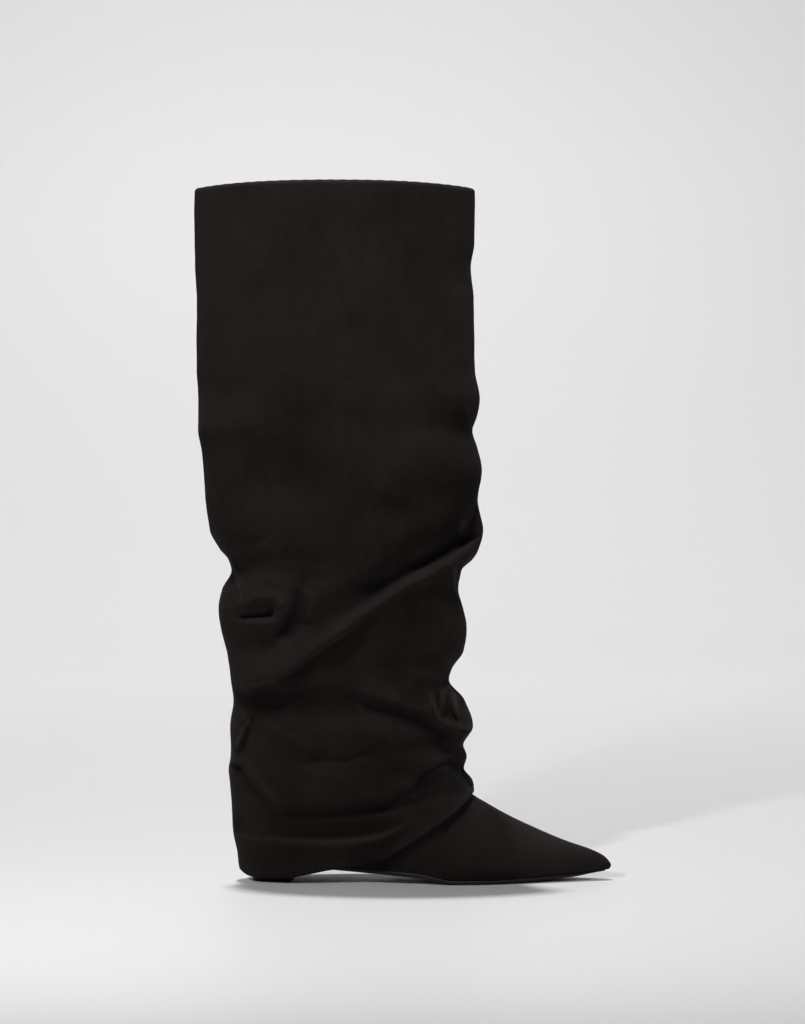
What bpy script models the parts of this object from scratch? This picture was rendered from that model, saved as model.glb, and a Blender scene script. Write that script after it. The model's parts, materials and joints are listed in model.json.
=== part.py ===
# Fold-over boot, right foot: pointed toe, low hidden heel, and a wide shaft that is
# turned over at the top line and hangs outside the leg down to a rising hem.
# Toe along +X, outer (lateral) side towards -Y, floor at Z = 0.
# Tables and sizes are in millimetres, and MM turns them into Blender's metres.

import math

import bmesh
import bpy

MM = 0.001

# Driving sizes
FOOT_LENGTH = 273.3
BALL_WIDTH = 83.0
BOOT_HEIGHT = 514.0
HEEL_BACK = -119.0
HEEL_HEIGHT = 16.4
TOE_SPRING = 4.8
OUTSOLE_THICKNESS = 3.0
INSOLE_THICKNESS = 2.6
UPPER_WALL = 1.6
SHAFT_WALL = 1.4
JOIN_GAP = 0.3

# How the upper leaves the sole and rises into the leg
FEATHER_TUCK = 0.05
FEATHER_TUCK_SHARE = 0.22
VAMP_ROUNDNESS = 2.15
HEEL_ROUND_LENGTH = 30.0
HEEL_ROUNDNESS = 2.2
TOE_ROUND_LENGTH = 9.0
TOE_ROUND_HEIGHTS = (10.0, 20.0)
LEVEL_FADE = 70.0
LEG_BLEND = (58.0, 112.0)
TOP_HUG = 46.0

# How far the sole's edge stays inside the upper
SOLE_INSET = 1.6
SOLE_TOE_INSET = 4.4
SOLE_EDGE_ROUND = 0.9
HEEL_INSET = 6.0
HEEL_BREAST = -70.0

# The heel narrows from its seat to the floor about this place along the foot.
HEEL_CENTRE = -105.8
HEEL_FOOT_LENGTH_SHARE = 0.64
HEEL_FOOT_WIDTH_SHARE = 0.63

# Faces around and along each lofted piece
UPPER_POINTS = 40
SHAFT_POINTS = 40
SOLE_MIDDLE = (-88.0, 110.0)
SOLE_STATIONS = 22
SOLE_END_STATIONS = 7
HEEL_POINTS = 12


def table(columns, *rows):
    names = columns.split()
    return {name: [row[i] for row in rows] for i, name in enumerate(names)}


# Plan of the last: how far along the foot, and each half-width as a share of half the ball width.
LAST = table(
    "along lateral medial",
    (0.000, 0.62, 0.62),
    (0.088, 0.66, 0.66),
    (0.143, 0.73, 0.72),
    (0.216, 0.78, 0.69),
    (0.289, 0.82, 0.66),
    (0.362, 0.87, 0.67),
    (0.435, 0.93, 0.74),
    (0.509, 0.98, 0.86),
    (0.582, 0.99, 0.96),
    (0.637, 0.96, 1.00),
    (0.692, 0.88, 0.96),
    (0.746, 0.75, 0.86),
    (0.801, 0.59, 0.71),
    (0.856, 0.43, 0.55),
    (0.911, 0.28, 0.39),
    (0.955, 0.17, 0.26),
    (1.000, 0.10, 0.17),
)

# Back line of the heel and leg, and front line over toe, vamp ridge and shin, by height.
UPPER_LINES = table(
    "z back front half_width",
    (5.0, -115.5, 149.5, 30.0),
    (10.5, -116.5, 154.3, 30.0),
    (17.0, -117.6, 150.0, 30.0),
    (22.5, -118.4, 139.5, 30.0),
    (28.6, -118.8, 122.0, 30.0),
    (38.2, -119.0, 98.6, 30.0),
    (49.3, -118.8, 75.2, 30.0),
    (57.0, -118.4, 62.0, 30.0),
    (64.5, -118.0, 50.4, 30.0),
    (76.0, -117.4, 42.0, 30.5),
    (92.0, -117.0, 35.5, 31.0),
    (112.0, -117.0, 31.0, 32.0),
    (150.0, -117.5, 28.5, 33.0),
    (230.0, -119.5, 31.0, 34.5),
    (290.0, -130.0, 38.0, 36.0),
    (400.0, -141.0, 44.0, 38.5),
    (514.0, -149.0, 49.0, 41.0),
)

# Underside of the sole: heel seat, arch, flat tread under the ball, toe spring.
SOLE_UNDER = table(
    "x z",
    (-121.0, HEEL_HEIGHT),
    (-62.0, 11.4),
    (-30.0, 8.7),
    (-2.0, 6.2),
    (12.0, 5.0),
    (20.0, 3.6),
    (28.0, 1.5),
    (36.0, 0.0),
    (66.0, 0.0),
    (86.0, 1.3),
    (121.0, 2.9),
    (154.3, TOE_SPRING),
)

# Back and front lines of the turned-over shaft, half-width and section roundness, by height.
# Below the hem's front point the front line runs on ahead along the foot.
SHAFT_LINES = table(
    "z back front half_width round",
    (0.0, -117.0, 96.0, 39.5, 2.0),
    (8.0, -120.2, 92.0, 41.0, 2.0),
    (22.0, -122.5, 84.0, 42.5, 2.0),
    (37.0, -125.4, 74.0, 43.5, 1.95),
    (66.3, -127.0, 52.9, 44.5, 1.85),
    (73.0, -127.6, 52.2, 44.8, 1.8),
    (82.6, -128.3, 45.4, 45.0, 1.75),
    (91.0, -127.0, 47.2, 45.2, 1.75),
    (99.6, -126.8, 44.6, 45.4, 1.75),
    (114.0, -127.4, 51.8, 45.8, 1.75),
    (133.0, -125.2, 45.8, 46.0, 1.75),
    (148.0, -126.9, 34.2, 46.2, 1.75),
    (156.0, -127.8, 36.6, 46.3, 1.75),
    (170.0, -129.9, 45.4, 46.4, 1.75),
    (185.0, -133.6, 47.2, 46.6, 1.75),
    (200.0, -135.9, 44.8, 46.8, 1.75),
    (215.0, -133.4, 41.0, 47.0, 1.75),
    (229.0, -126.4, 43.6, 47.2, 1.75),
    (237.0, -128.6, 51.6, 47.3, 1.75),
    (245.0, -135.0, 56.4, 47.4, 1.75),
    (259.0, -142.4, 59.6, 47.6, 1.7),
    (281.0, -145.4, 55.6, 48.0, 1.7),
    (302.0, -147.0, 58.8, 48.0, 1.65),
    (320.0, -148.8, 55.4, 48.0, 1.6),
    (332.0, -151.2, 51.8, 47.8, 1.6),
    (343.0, -151.4, 55.6, 47.6, 1.55),
    (355.0, -151.3, 57.4, 47.4, 1.55),
    (377.0, -152.2, 53.8, 47.0, 1.5),
    (430.0, -152.4, 52.9, 46.0, 1.4),
    (452.0, -153.8, 50.7, 45.6, 1.35),
    (472.0, -154.3, 53.4, 45.2, 1.35),
    (514.0, -154.3, 53.7, 44.0, 1.3),
)

# Hem of the shaft seen from the side: low round the heel, rising over the instep.
HEM = table(
    "x z",
    (-120.2, 8.0),
    (-116.0, 5.4),
    (-108.0, 4.0),
    (-92.0, 4.0),
    (-76.0, 6.2),
    (-55.0, 10.8),
    (-31.0, 14.2),
    (-18.0, 17.0),
    (-5.0, 23.0),
    (8.0, 31.5),
    (21.5, 40.7),
    (34.6, 49.6),
    (45.2, 58.5),
    (52.9, 66.3),
)

# Top line of the shaft: a shallow arch between the back and front seams.
TOP_DIP_AT_SEAMS = 2.4

# Rows of faces on the shaft, as height shares between hem and top line.
SHAFT_ROWS_SLOUCHED = 28
SHAFT_ROWS_SMOOTH = 9
SLOUCH_HEIGHT_SHARE = 0.56

# Rows of faces on the upper, as heights above the sole's edge.
UPPER_LEVELS = (
    0.0, 2.5, 5.0, 8.0, 11.5, 15.5, 20.0, 25.0, 30.5, 36.5, 43.0, 50.0,
    58.0, 68.0, 80.0, 96.0, 118.0, 150.0, 190.0, 240.0, 300.0, 370.0, 430.0, 470.0,
)

# Slouch folds of the shaft, drawn in side view as bowed lines on one side of the leg.
# side is -1 outer and +1 inner, rise is out of the cloth, sag bows the line downwards.
FOLDS = table(
    "side x0 z0 x1 z1 sag rise spread",
    (-1, 62.0, 254.0, -118.0, 158.0, 4.0, 8.0, 13.0),
    (-1, 66.0, 272.0, -22.0, 230.0, 4.0, -9.0, 12.0),
    (-1, -132.0, 148.0, 52.0, 104.0, -18.0, -6.0, 13.0),
    (-1, 20.0, 140.0, 56.0, 106.0, 5.0, 6.0, 8.0),
    (-1, 54.0, 108.0, 8.0, 60.0, -4.0, 4.0, 8.0),
    (-1, -96.0, 44.0, 60.0, 78.0, 6.0, -4.5, 10.0),
    (-1, -124.0, 196.0, -92.0, 194.0, 0.0, -6.0, 7.0),
    (-1, -128.0, 236.0, -110.0, 204.0, 3.0, 4.5, 8.0),
    (-1, -124.0, 92.0, -88.0, 56.0, 0.0, 4.0, 9.0),
    (1, 60.0, 236.0, -112.0, 176.0, 6.0, 8.0, 14.0),
    (1, 56.0, 256.0, -60.0, 214.0, 4.0, -8.0, 13.0),
    (1, -126.0, 126.0, 40.0, 138.0, 16.0, -6.0, 13.0),
    (1, -110.0, 108.0, 48.0, 92.0, 10.0, 5.0, 11.0),
    (1, -104.0, 52.0, 56.0, 76.0, 8.0, -4.5, 10.0),
    (1, -130.0, 228.0, -92.0, 206.0, 3.0, 5.0, 10.0),
)
FOLD_END_FADE = 0.16
FOLD_EDGE_FADE = 0.45
FOOT_EASE = 4.0
FOOT_CLEARANCE = 1.2


def smoothstep(low, high, value):
    share = min(1.0, max(0.0, (value - low) / (high - low)))
    return share * share * (3.0 - 2.0 * share)


def knot_slopes(xs, ys):
    # Slopes that keep the curve between its knots from overshooting.
    steps = [(ys[i + 1] - ys[i]) / (xs[i + 1] - xs[i]) for i in range(len(xs) - 1)]
    slopes = [steps[0]]
    for before, after in zip(steps, steps[1:]):
        slopes.append(0.0 if before * after <= 0 else 2.0 * before * after / (before + after))
    return slopes + [steps[-1]]


def curve_through(xs, ys):
    slopes = knot_slopes(xs, ys)

    def at(x):
        x = min(max(x, xs[0]), xs[-1])
        i = max(k for k in range(len(xs) - 1) if xs[k] <= x)
        width = xs[i + 1] - xs[i]
        t = (x - xs[i]) / width
        rise = ys[i + 1] - ys[i]
        bend_in = width * slopes[i] - rise
        bend_out = rise - width * slopes[i + 1]
        return ys[i] + t * rise + t * (1 - t) * ((1 - t) * bend_in + t * bend_out)

    return at


lateral_share = curve_through(LAST["along"], LAST["lateral"])
medial_share = curve_through(LAST["along"], LAST["medial"])
upper_back = curve_through(UPPER_LINES["z"], UPPER_LINES["back"])
upper_front = curve_through(UPPER_LINES["z"], UPPER_LINES["front"])
leg_half_width = curve_through(UPPER_LINES["z"], UPPER_LINES["half_width"])
sole_under = curve_through(SOLE_UNDER["x"], SOLE_UNDER["z"])
shaft_back = curve_through(SHAFT_LINES["z"], SHAFT_LINES["back"])
shaft_front = curve_through(SHAFT_LINES["z"], SHAFT_LINES["front"])
shaft_half_width = curve_through(SHAFT_LINES["z"], SHAFT_LINES["half_width"])
shaft_round = curve_through(SHAFT_LINES["z"], SHAFT_LINES["round"])
hem_height = curve_through(HEM["x"], HEM["z"])

# The vamp ridge is the front line read from the shin, row 12, down to the toe tip, row 1.
RIDGE = slice(12, 0, -1)
ridge_height = curve_through(UPPER_LINES["front"][RIDGE], UPPER_LINES["z"][RIDGE])


# Foot of the upper

def sole_top(x):
    return sole_under(x) + OUTSOLE_THICKNESS


def feather_height(x):
    return sole_top(x) + JOIN_GAP


def plan_half_width(x, side):
    # Half-width of the last at x, before the heel and toe are rounded off.
    along = (x - HEEL_BACK) / FOOT_LENGTH
    share = lateral_share(along) if side < 0 else medial_share(along)
    return share * BALL_WIDTH / 2


def end_round(distance, length, roundness):
    inside = min(1.0, max(0.0, distance / length))
    return (1.0 - (1.0 - inside) ** roundness) ** (1.0 / roundness)


def foot_half_width(x, z, side, back, front):
    low = feather_height(x)
    top = max(ridge_height(x), low + 1.0)
    rise = min(1.0, max(0.0, (z - low) / (top - low)))
    dome = (1.0 - rise ** VAMP_ROUNDNESS) ** (1.0 / VAMP_ROUNDNESS)
    tuck = 1.0 - FEATHER_TUCK * max(0.0, 1.0 - rise / FEATHER_TUCK_SHARE) ** 2
    heel = end_round(x - back, HEEL_ROUND_LENGTH, HEEL_ROUNDNESS)
    toe = end_round(front - x, TOE_ROUND_LENGTH, 2.0)
    toe += (1.0 - toe) * smoothstep(*TOE_ROUND_HEIGHTS, z)
    return plan_half_width(x, side) * dome * tuck * heel * toe


def level_height(x, level):
    # A level follows the sole's edge near the sole and is flat higher up.
    fade = 1.0 - smoothstep(0.0, LEVEL_FADE, level)
    flat = feather_height(HEEL_BACK) * 0.5
    return level + feather_height(x) * fade + flat * (1.0 - fade)


def upper_ends(level):
    # Where a level meets the back line and the front line of the upper.
    back, front = HEEL_BACK, HEEL_BACK + FOOT_LENGTH
    for _ in range(12):
        back = upper_back(level_height(back, level))
        front = upper_front(level_height(front, level))
    return back, front


def oval_point(back, front, half_width, roundness, angle):
    middle = (back + front) / 2
    x = middle + (front - back) / 2 * math.cos(angle)
    y = half_width * abs(math.sin(angle)) ** (2.0 / roundness)
    return x, math.copysign(y, math.sin(angle))


def upper_point(level, back, front, angle):
    x = (back + front) / 2 + (front - back) / 2 * math.cos(angle)
    z = level_height(x, level)
    side = 1 if math.sin(angle) >= 0 else -1
    foot_y = side * foot_half_width(x, z, side, back, front)
    _, leg_y = oval_point(back, front, leg_half_width(z), shaft_round(z), angle)
    leg = smoothstep(*LEG_BLEND, z)
    return x, foot_y * (1 - leg) + leg_y * leg, z


def inset_ring(points, distance):
    # A ring moved inwards by its corners' bisectors, at the heights it has.
    moved = []
    for i, (x, y, z) in enumerate(points):
        x0, y0, _ = points[i - 1]
        x1, y1, _ = points[(i + 1) % len(points)]
        before = math.atan2(y - y0, x - x0)
        after = math.atan2(y1 - y, x1 - x)
        turn = (after - before + math.pi) % (2 * math.pi) - math.pi
        normal = before + turn / 2 - math.pi / 2
        reach = distance / max(0.5, math.cos(turn / 2))
        moved.append((x - reach * math.cos(normal), y - reach * math.sin(normal), z))
    return moved


def ring_angles(count):
    return [2 * math.pi * i / count for i in range(count)]


def leg_ring(z):
    ends = upper_back(z), upper_front(z)
    return [oval_point(*ends, leg_half_width(z), shaft_round(z), a) for a in ring_angles(UPPER_POINTS)]


def upper_rings():
    rings = []
    for level in UPPER_LEVELS:
        back, front = upper_ends(level)
        rings.append([upper_point(level, back, front, a) for a in ring_angles(UPPER_POINTS)])
    # Near the top the leg lies against the inside of the turned-over shaft.
    top = top_line(0.0)
    for drop in (26.0, 12.0, 0.0):
        own = leg_ring(top - drop)
        outer = [shaft_at_height(a, top_line(a) - drop) for a in ring_angles(UPPER_POINTS)]
        inner = inset_ring(outer, SHAFT_WALL + JOIN_GAP)
        hug = 1.0 - smoothstep(0.0, TOP_HUG, drop)
        rings.append([
            (x * hug + ox * (1 - hug), y * hug + oy * (1 - hug), z)
            for (x, y, z), (ox, oy) in zip(inner, own)
        ])
    return rings


# Turned-over shaft

def fold_rise(side, x, z):
    total = 0.0
    for i, fold_side in enumerate(FOLDS["side"]):
        if fold_side != side:
            continue
        x0, z0, x1, z1 = (FOLDS[name][i] for name in ("x0", "z0", "x1", "z1"))
        run_x, run_z = x1 - x0, z1 - z0
        length = math.hypot(run_x, run_z)
        along = ((x - x0) * run_x + (z - z0) * run_z) / length ** 2
        if not 0.0 < along < 1.0:
            continue
        bow = FOLDS["sag"][i] * 4.0 * along * (1.0 - along)
        across = ((z - z0) * run_x - (x - x0) * run_z) / length * math.copysign(1.0, run_x) + bow
        ends = smoothstep(0.0, FOLD_END_FADE, along) * smoothstep(0.0, FOLD_END_FADE, 1.0 - along)
        total += FOLDS["rise"][i] * ends * math.exp(-((across / FOLDS["spread"][i]) ** 2))
    return total


def top_line(angle):
    return BOOT_HEIGHT - TOP_DIP_AT_SEAMS * abs(math.cos(angle)) ** 3


def shaft_at_height(angle, z):
    # Smooth section of the shaft, without folds.
    x, y = oval_point(shaft_back(z), shaft_front(z), shaft_half_width(z), shaft_round(z), angle)
    return x, y, z


def hem_point(angle):
    x = (HEM["x"][0] + HEM["x"][-1]) / 2 + (HEM["x"][-1] - HEM["x"][0]) / 2 * math.cos(angle)
    return x, hem_height(x)


def shaft_point(angle, share):
    hem_x, hem_z = hem_point(angle)
    z = hem_z + share * (top_line(angle) - hem_z)
    back, front = shaft_back(z), shaft_front(z)
    # The column starts at the hem's place along the foot and eases into an even spread.
    hem_along = (hem_x - shaft_back(hem_z)) / (shaft_front(hem_z) - shaft_back(hem_z))
    even_along = (1.0 + math.cos(angle)) / 2
    along = hem_along + (even_along - hem_along) * smoothstep(0.0, 70.0, z - hem_z)
    oval_angle = math.acos(max(-1.0, min(1.0, 2.0 * along - 1.0)))
    side = 1 if math.sin(angle) >= 0 else -1
    x, y = oval_point(back, front, shaft_half_width(z), shaft_round(z), side * oval_angle)
    on_side = smoothstep(0.0, FOLD_EDGE_FADE, abs(math.sin(oval_angle)))
    y = abs(y) + fold_rise(side, x, z) * on_side
    return x, side * outside_foot(y, clear_of_foot(x, z, side)), z


def outside_foot(y, least):
    # The larger of two half-widths, with the change from one to the other eased.
    if least <= 0.0:
        return y
    return (y + least + math.hypot(y - least, FOOT_EASE)) / 2


def clear_of_foot(x, z, side):
    # Least half-width at which the shaft still hangs outside the foot.
    grown = SHAFT_WALL + FOOT_CLEARANCE
    if z < feather_height(x):
        return sole_half_width(x, side, SOLE_INSET) + grown
    x, z = x - grown * smoothstep(-60.0, 0.0, x), max(z - grown, feather_height(x))
    back, front = upper_back(z), upper_front(z)
    if z > LEG_BLEND[1] or not back < x < front:
        return 0.0
    return foot_half_width(x, z, side, back, front) + grown


def shaft_shares():
    low = [SLOUCH_HEIGHT_SHARE * i / SHAFT_ROWS_SLOUCHED for i in range(SHAFT_ROWS_SLOUCHED)]
    rest = 1.0 - SLOUCH_HEIGHT_SHARE
    high = [SLOUCH_HEIGHT_SHARE + rest * i / SHAFT_ROWS_SMOOTH for i in range(SHAFT_ROWS_SMOOTH + 1)]
    return low + high


def shaft_rings():
    return [[shaft_point(a, share) for a in ring_angles(SHAFT_POINTS)] for share in shaft_shares()]


# Blender objects

def plain_material(name, colour, roughness):
    material = bpy.data.materials.new(name)
    material.use_nodes = True
    shader = material.node_tree.nodes["Principled BSDF"]
    shader.inputs["Base Color"].default_value = (*colour, 1.0)
    shader.inputs["Roughness"].default_value = roughness
    shader.inputs["Metallic"].default_value = 0.0
    return material


def place(name, mesh, material, collection):
    mesh.materials.append(material)
    mesh.shade_smooth()
    mesh.set_sharp_from_angle(angle=math.radians(50))
    made = bpy.data.objects.new(name, mesh)
    collection.objects.link(made)
    return made


def loft(name, rings, cap_ends=False):
    # Rings run anticlockwise seen from above, or from the far end of the loft, in order.
    mesh = bpy.data.meshes.new(name)
    bm = bmesh.new()
    verts = [[bm.verts.new((x * MM, y * MM, z * MM)) for x, y, z in ring] for ring in rings]
    for low, high in zip(verts, verts[1:]):
        for i in range(len(low)):
            j = (i + 1) % len(low)
            bm.faces.new((low[i], low[j], high[j], high[i]))
    if cap_ends:
        bm.faces.new(reversed(verts[0]))
        bm.faces.new(verts[-1])
    bmesh.ops.recalc_face_normals(bm, faces=bm.faces)
    bm.to_mesh(mesh)
    bm.free()
    return mesh


def shell(name, rings, wall, material, collection):
    made = place(name, loft(name, rings), material, collection)
    solidify = made.modifiers.new("wall", "SOLIDIFY")
    solidify.thickness = wall * MM
    solidify.offset = -1.0
    solidify.use_even_offset = True
    return made


def sole_ends(inset):
    return HEEL_BACK + inset, HEEL_BACK + FOOT_LENGTH - SOLE_TOE_INSET - 2 * (inset - SOLE_INSET)


def sole_half_width(x, side, inset):
    back, front = sole_ends(inset)
    heel = end_round(x - back, HEEL_ROUND_LENGTH, HEEL_ROUNDNESS)
    toe = end_round(front - x, TOE_ROUND_LENGTH, 2.0)
    return max(0.4, (plan_half_width(x, side) - inset) * heel * toe)


def station_xs(inset):
    # Stations shared by outsole and insole, closed up towards the heel and the toe.
    back, front = sole_ends(inset)
    low, high = SOLE_MIDDLE
    ease = [math.sin(math.pi / 2 * i / SOLE_END_STATIONS) for i in range(SOLE_END_STATIONS)]
    heel = [back + (low - back) * (1 - math.cos(math.asin(e))) for e in ease]
    middle = [low + (high - low) * i / SOLE_STATIONS for i in range(SOLE_STATIONS + 1)]
    toe = [front - (front - high) * (1 - math.cos(math.asin(e))) for e in ease]
    return heel + middle + toe[::-1]


def slab_section(x, inset, low, high, edge):
    # A cross-section with its four long edges rounded off by one chamfer each.
    lateral, medial = (sole_half_width(x, side, inset) for side in (-1, 1))
    edge = min(edge, lateral / 2, medial / 2, (high - low) / 3)
    return [
        (x, -lateral + edge, low), (x, medial - edge, low),
        (x, medial, low + edge), (x, medial, high - edge),
        (x, medial - edge, high), (x, -lateral + edge, high),
        (x, -lateral, high - edge), (x, -lateral, low + edge),
    ]


def outsole(material, collection):
    sections = [slab_section(x, SOLE_INSET, sole_under(x), sole_top(x), SOLE_EDGE_ROUND)
                for x in station_xs(SOLE_INSET)]
    place("outsole", loft("outsole", sections, cap_ends=True), material, collection)


def insole(material, collection):
    # It lies on the outsole, inside the upper's wall.
    inset = SOLE_INSET + UPPER_WALL + 2.0
    sections = []
    for x in station_xs(inset):
        low = feather_height(x)
        sections.append(slab_section(x, inset, low, low + INSOLE_THICKNESS, SOLE_EDGE_ROUND))
    place("insole", loft("insole", sections, cap_ends=True), material, collection)


def heel_seat():
    # From the breast round the back of the heel to the breast again.
    back = HEEL_BACK + HEEL_INSET
    turns = [math.pi / 2 * i / HEEL_POINTS for i in range(HEEL_POINTS + 1)]
    xs = [HEEL_BREAST + (back - HEEL_BREAST) * math.sin(turn) for turn in turns]
    medial = [(x, sole_half_width(x, 1, HEEL_INSET)) for x in xs]
    lateral = [(x, -sole_half_width(x, -1, HEEL_INSET)) for x in reversed(xs)]
    return medial + lateral


def heel(material, collection):
    seat = heel_seat()
    top = [(x, y, sole_under(x) - JOIN_GAP) for x, y in seat]
    foot = [(HEEL_CENTRE + (x - HEEL_CENTRE) * HEEL_FOOT_LENGTH_SHARE, y * HEEL_FOOT_WIDTH_SHARE, 0.0)
            for x, y in seat]
    place("heel", loft("heel", [foot, top], cap_ends=True), material, collection)


def main():
    for old in list(bpy.data.objects):
        bpy.data.objects.remove(old, do_unlink=True)
    boot = bpy.data.collections.new("foldover_boot")
    bpy.context.scene.collection.children.link(boot)
    suede = plain_material("black_suede", (0.011, 0.0095, 0.009), 0.95)
    lining = plain_material("black_lining", (0.016, 0.015, 0.015), 0.8)
    sole_rubber = plain_material("black_sole", (0.012, 0.012, 0.012), 0.55)
    outsole(sole_rubber, boot)
    heel(sole_rubber, boot)
    insole(lining, boot)
    shell("upper", upper_rings(), UPPER_WALL, suede, boot)
    shell("foldover_shaft", shaft_rings(), SHAFT_WALL, suede, boot)


main()
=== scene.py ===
import json
import math

import bpy
import numpy as np
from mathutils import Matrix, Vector, noise

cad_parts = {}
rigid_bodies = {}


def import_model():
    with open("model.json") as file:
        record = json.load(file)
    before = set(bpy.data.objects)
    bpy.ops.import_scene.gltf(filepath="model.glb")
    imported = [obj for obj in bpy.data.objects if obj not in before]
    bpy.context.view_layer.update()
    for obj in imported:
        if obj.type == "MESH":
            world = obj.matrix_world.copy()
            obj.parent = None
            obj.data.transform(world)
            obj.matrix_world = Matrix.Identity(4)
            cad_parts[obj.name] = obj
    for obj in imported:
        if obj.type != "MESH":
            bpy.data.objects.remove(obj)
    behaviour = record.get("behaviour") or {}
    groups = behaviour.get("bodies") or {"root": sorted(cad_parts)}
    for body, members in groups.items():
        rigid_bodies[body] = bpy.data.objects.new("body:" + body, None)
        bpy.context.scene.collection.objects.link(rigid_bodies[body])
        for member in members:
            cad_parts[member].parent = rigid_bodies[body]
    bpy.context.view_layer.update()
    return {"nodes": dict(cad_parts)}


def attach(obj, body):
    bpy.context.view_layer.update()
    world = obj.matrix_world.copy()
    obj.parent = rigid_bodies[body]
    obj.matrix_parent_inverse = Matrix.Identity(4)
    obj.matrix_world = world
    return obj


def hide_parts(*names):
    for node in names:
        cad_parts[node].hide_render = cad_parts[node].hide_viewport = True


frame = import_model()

mm = 0.001  # every size below is in millimetres unless it says metres
bpy.ops.object.select_all(action="DESELECT")
print("frame loaded:", sorted(frame["nodes"]))


# Small helpers

def easeStep(low, high, value):
    share = np.clip((value - low) / (high - low), 0.0, 1.0)
    return share * share * (3.0 - 2.0 * share)


def curveThrough(knots, column):
    # smooth line through the knots that never overshoots them
    table = np.array(knots, float)
    xs, ys = table[:, 0], table[:, column]
    if xs[0] > xs[-1]:
        xs, ys = xs[::-1], ys[::-1]
    steps = np.diff(ys) / np.diff(xs)
    before, after = steps[:-1], steps[1:]
    same = before * after > 0
    inner = np.where(same, 2 * before * after / np.where(same, before + after, 1.0), 0.0)
    slopes = np.concatenate(([steps[0]], inner, [steps[-1]]))

    def at(x):
        x = np.clip(np.asarray(x, float), xs[0], xs[-1])
        i = np.clip(np.searchsorted(xs, x, side="right") - 1, 0, len(xs) - 2)
        width, rise = xs[i + 1] - xs[i], ys[i + 1] - ys[i]
        t = (x - xs[i]) / width
        bendIn = width * slopes[i] - rise
        bendOut = rise - width * slopes[i + 1]
        return ys[i] + t * rise + t * (1 - t) * ((1 - t) * bendIn + t * bendOut)

    return at


def spanAt(back, front, share):
    # place between two ends, for a share from -1 at the back to 1 at the front
    return (back + front) / 2 + (front - back) / 2 * share


def runOf(lengths):
    # distance from the start at each point, from the lengths between the points
    return np.concatenate(([0.0], np.cumsum(lengths)))


def unit(rows):
    return rows / np.linalg.norm(rows, axis=1, keepdims=True)


def endRound(distance, length, roundness):
    inside = np.clip(distance / length, 0.0, 1.0)
    return (1.0 - (1.0 - inside) ** roundness) ** (1.0 / roundness)


def gridNormals(points, closed=True):
    # outward direction at each point of a sheet, rows upwards and columns anticlockwise
    if closed:
        wrapped = np.concatenate((points[:, -2:-1], points, points[:, 1:2]), axis=1)
        across = np.gradient(wrapped, axis=1)[:, 1:-1]
    else:
        across = np.gradient(points, axis=1)
    normal = np.cross(across, np.gradient(points, axis=0))
    return normal / np.maximum(np.linalg.norm(normal, axis=2, keepdims=True), 1e-9)


def softened(points, reach):
    # mean of the neighbouring rows and columns of a closed sheet
    rows, body = len(points), points[:, :-1]
    around = sum(np.roll(body, k, axis=1) for k in range(-reach, reach + 1)) / (2 * reach + 1)
    padded = np.pad(around, ((reach, reach), (0, 0), (0, 0)), mode="edge")
    mean = sum(padded[k:k + rows] for k in range(2 * reach + 1)) / (2 * reach + 1)
    return np.concatenate((mean, mean[:, :1]), axis=1)


seedShift = (3.7, 1.9, 5.3)  # how far one seed lies from the next in the noise


def roughen(points, size, seed):
    # one smooth random value from -1 to 1 for each point
    flat = points.reshape(-1, 3) / size
    shift = Vector([seed * step for step in seedShift])
    found = [noise.noise(Vector(p) + shift) for p in flat]
    return np.array(found).reshape(points.shape[:-1])


def sheetFromGrid(name, points, closed=True, paintedShading=None):
    # a grid primitive whose points are laid on the computed sheet, then sewn into a tube
    rows, columns = points.shape[:2]
    bpy.ops.object.select_all(action="DESELECT")
    bpy.ops.mesh.primitive_grid_add(x_subdivisions=columns - 1, y_subdivisions=rows - 1, size=1.0)
    piece = bpy.context.object
    piece.name = piece.data.name = name
    piece.data.vertices.foreach_set("co", (points * mm).astype(np.float32).ravel())
    piece.data.update()
    # stores the painted shading values as a point attribute, which the suede material turns into painted
    # highlight and painted shade
    if paintedShading is not None:
        layer = piece.data.attributes.new("paintedShading", "FLOAT", "POINT")
        layer.data.foreach_set("value", paintedShading.astype(np.float32).ravel())
    if closed:
        bpy.ops.object.mode_set(mode="EDIT")
        bpy.ops.mesh.select_all(action="SELECT")
        bpy.ops.mesh.remove_doubles(threshold=1e-6)
        bpy.ops.object.mode_set(mode="OBJECT")
    bpy.ops.object.shade_smooth()
    return piece


def finishFaces(smoothAngle):
    # every face of the active piece turned outwards, and edges over the angle left crisp
    bpy.ops.object.mode_set(mode="EDIT")
    bpy.ops.mesh.select_all(action="SELECT")
    bpy.ops.mesh.normals_make_consistent(inside=False)
    bpy.ops.mesh.select_mode(type="VERT")
    bpy.ops.object.mode_set(mode="OBJECT")
    bpy.ops.object.shade_smooth_by_angle(angle=math.radians(smoothAngle))


def applyModifier(piece, kind, **settings):
    bpy.context.view_layer.objects.active = piece
    modifier = piece.modifiers.new(kind.lower(), kind)
    for key, value in settings.items():
        setattr(modifier, key, value)
    bpy.ops.object.modifier_apply(modifier=modifier.name)


def dress(piece, slotName, *materials):
    piece.data.materials.clear()
    for material in materials:
        piece.data.materials.append(material)
    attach(piece, "root")
    print("piece ready:", piece.name, len(piece.data.polygons), "faces")


# Materials

def newGroup(name, inputs, outputs):
    group = bpy.data.node_groups.new(name, "ShaderNodeTree")
    for label, kind, value in inputs:
        socket = group.interface.new_socket(label, in_out="INPUT", socket_type=kind)
        if value is not None:
            socket.default_value = value
    for label, kind in outputs:
        group.interface.new_socket(label, in_out="OUTPUT", socket_type=kind)
    return group, group.nodes.new("NodeGroupInput"), group.nodes.new("NodeGroupOutput")


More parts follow.
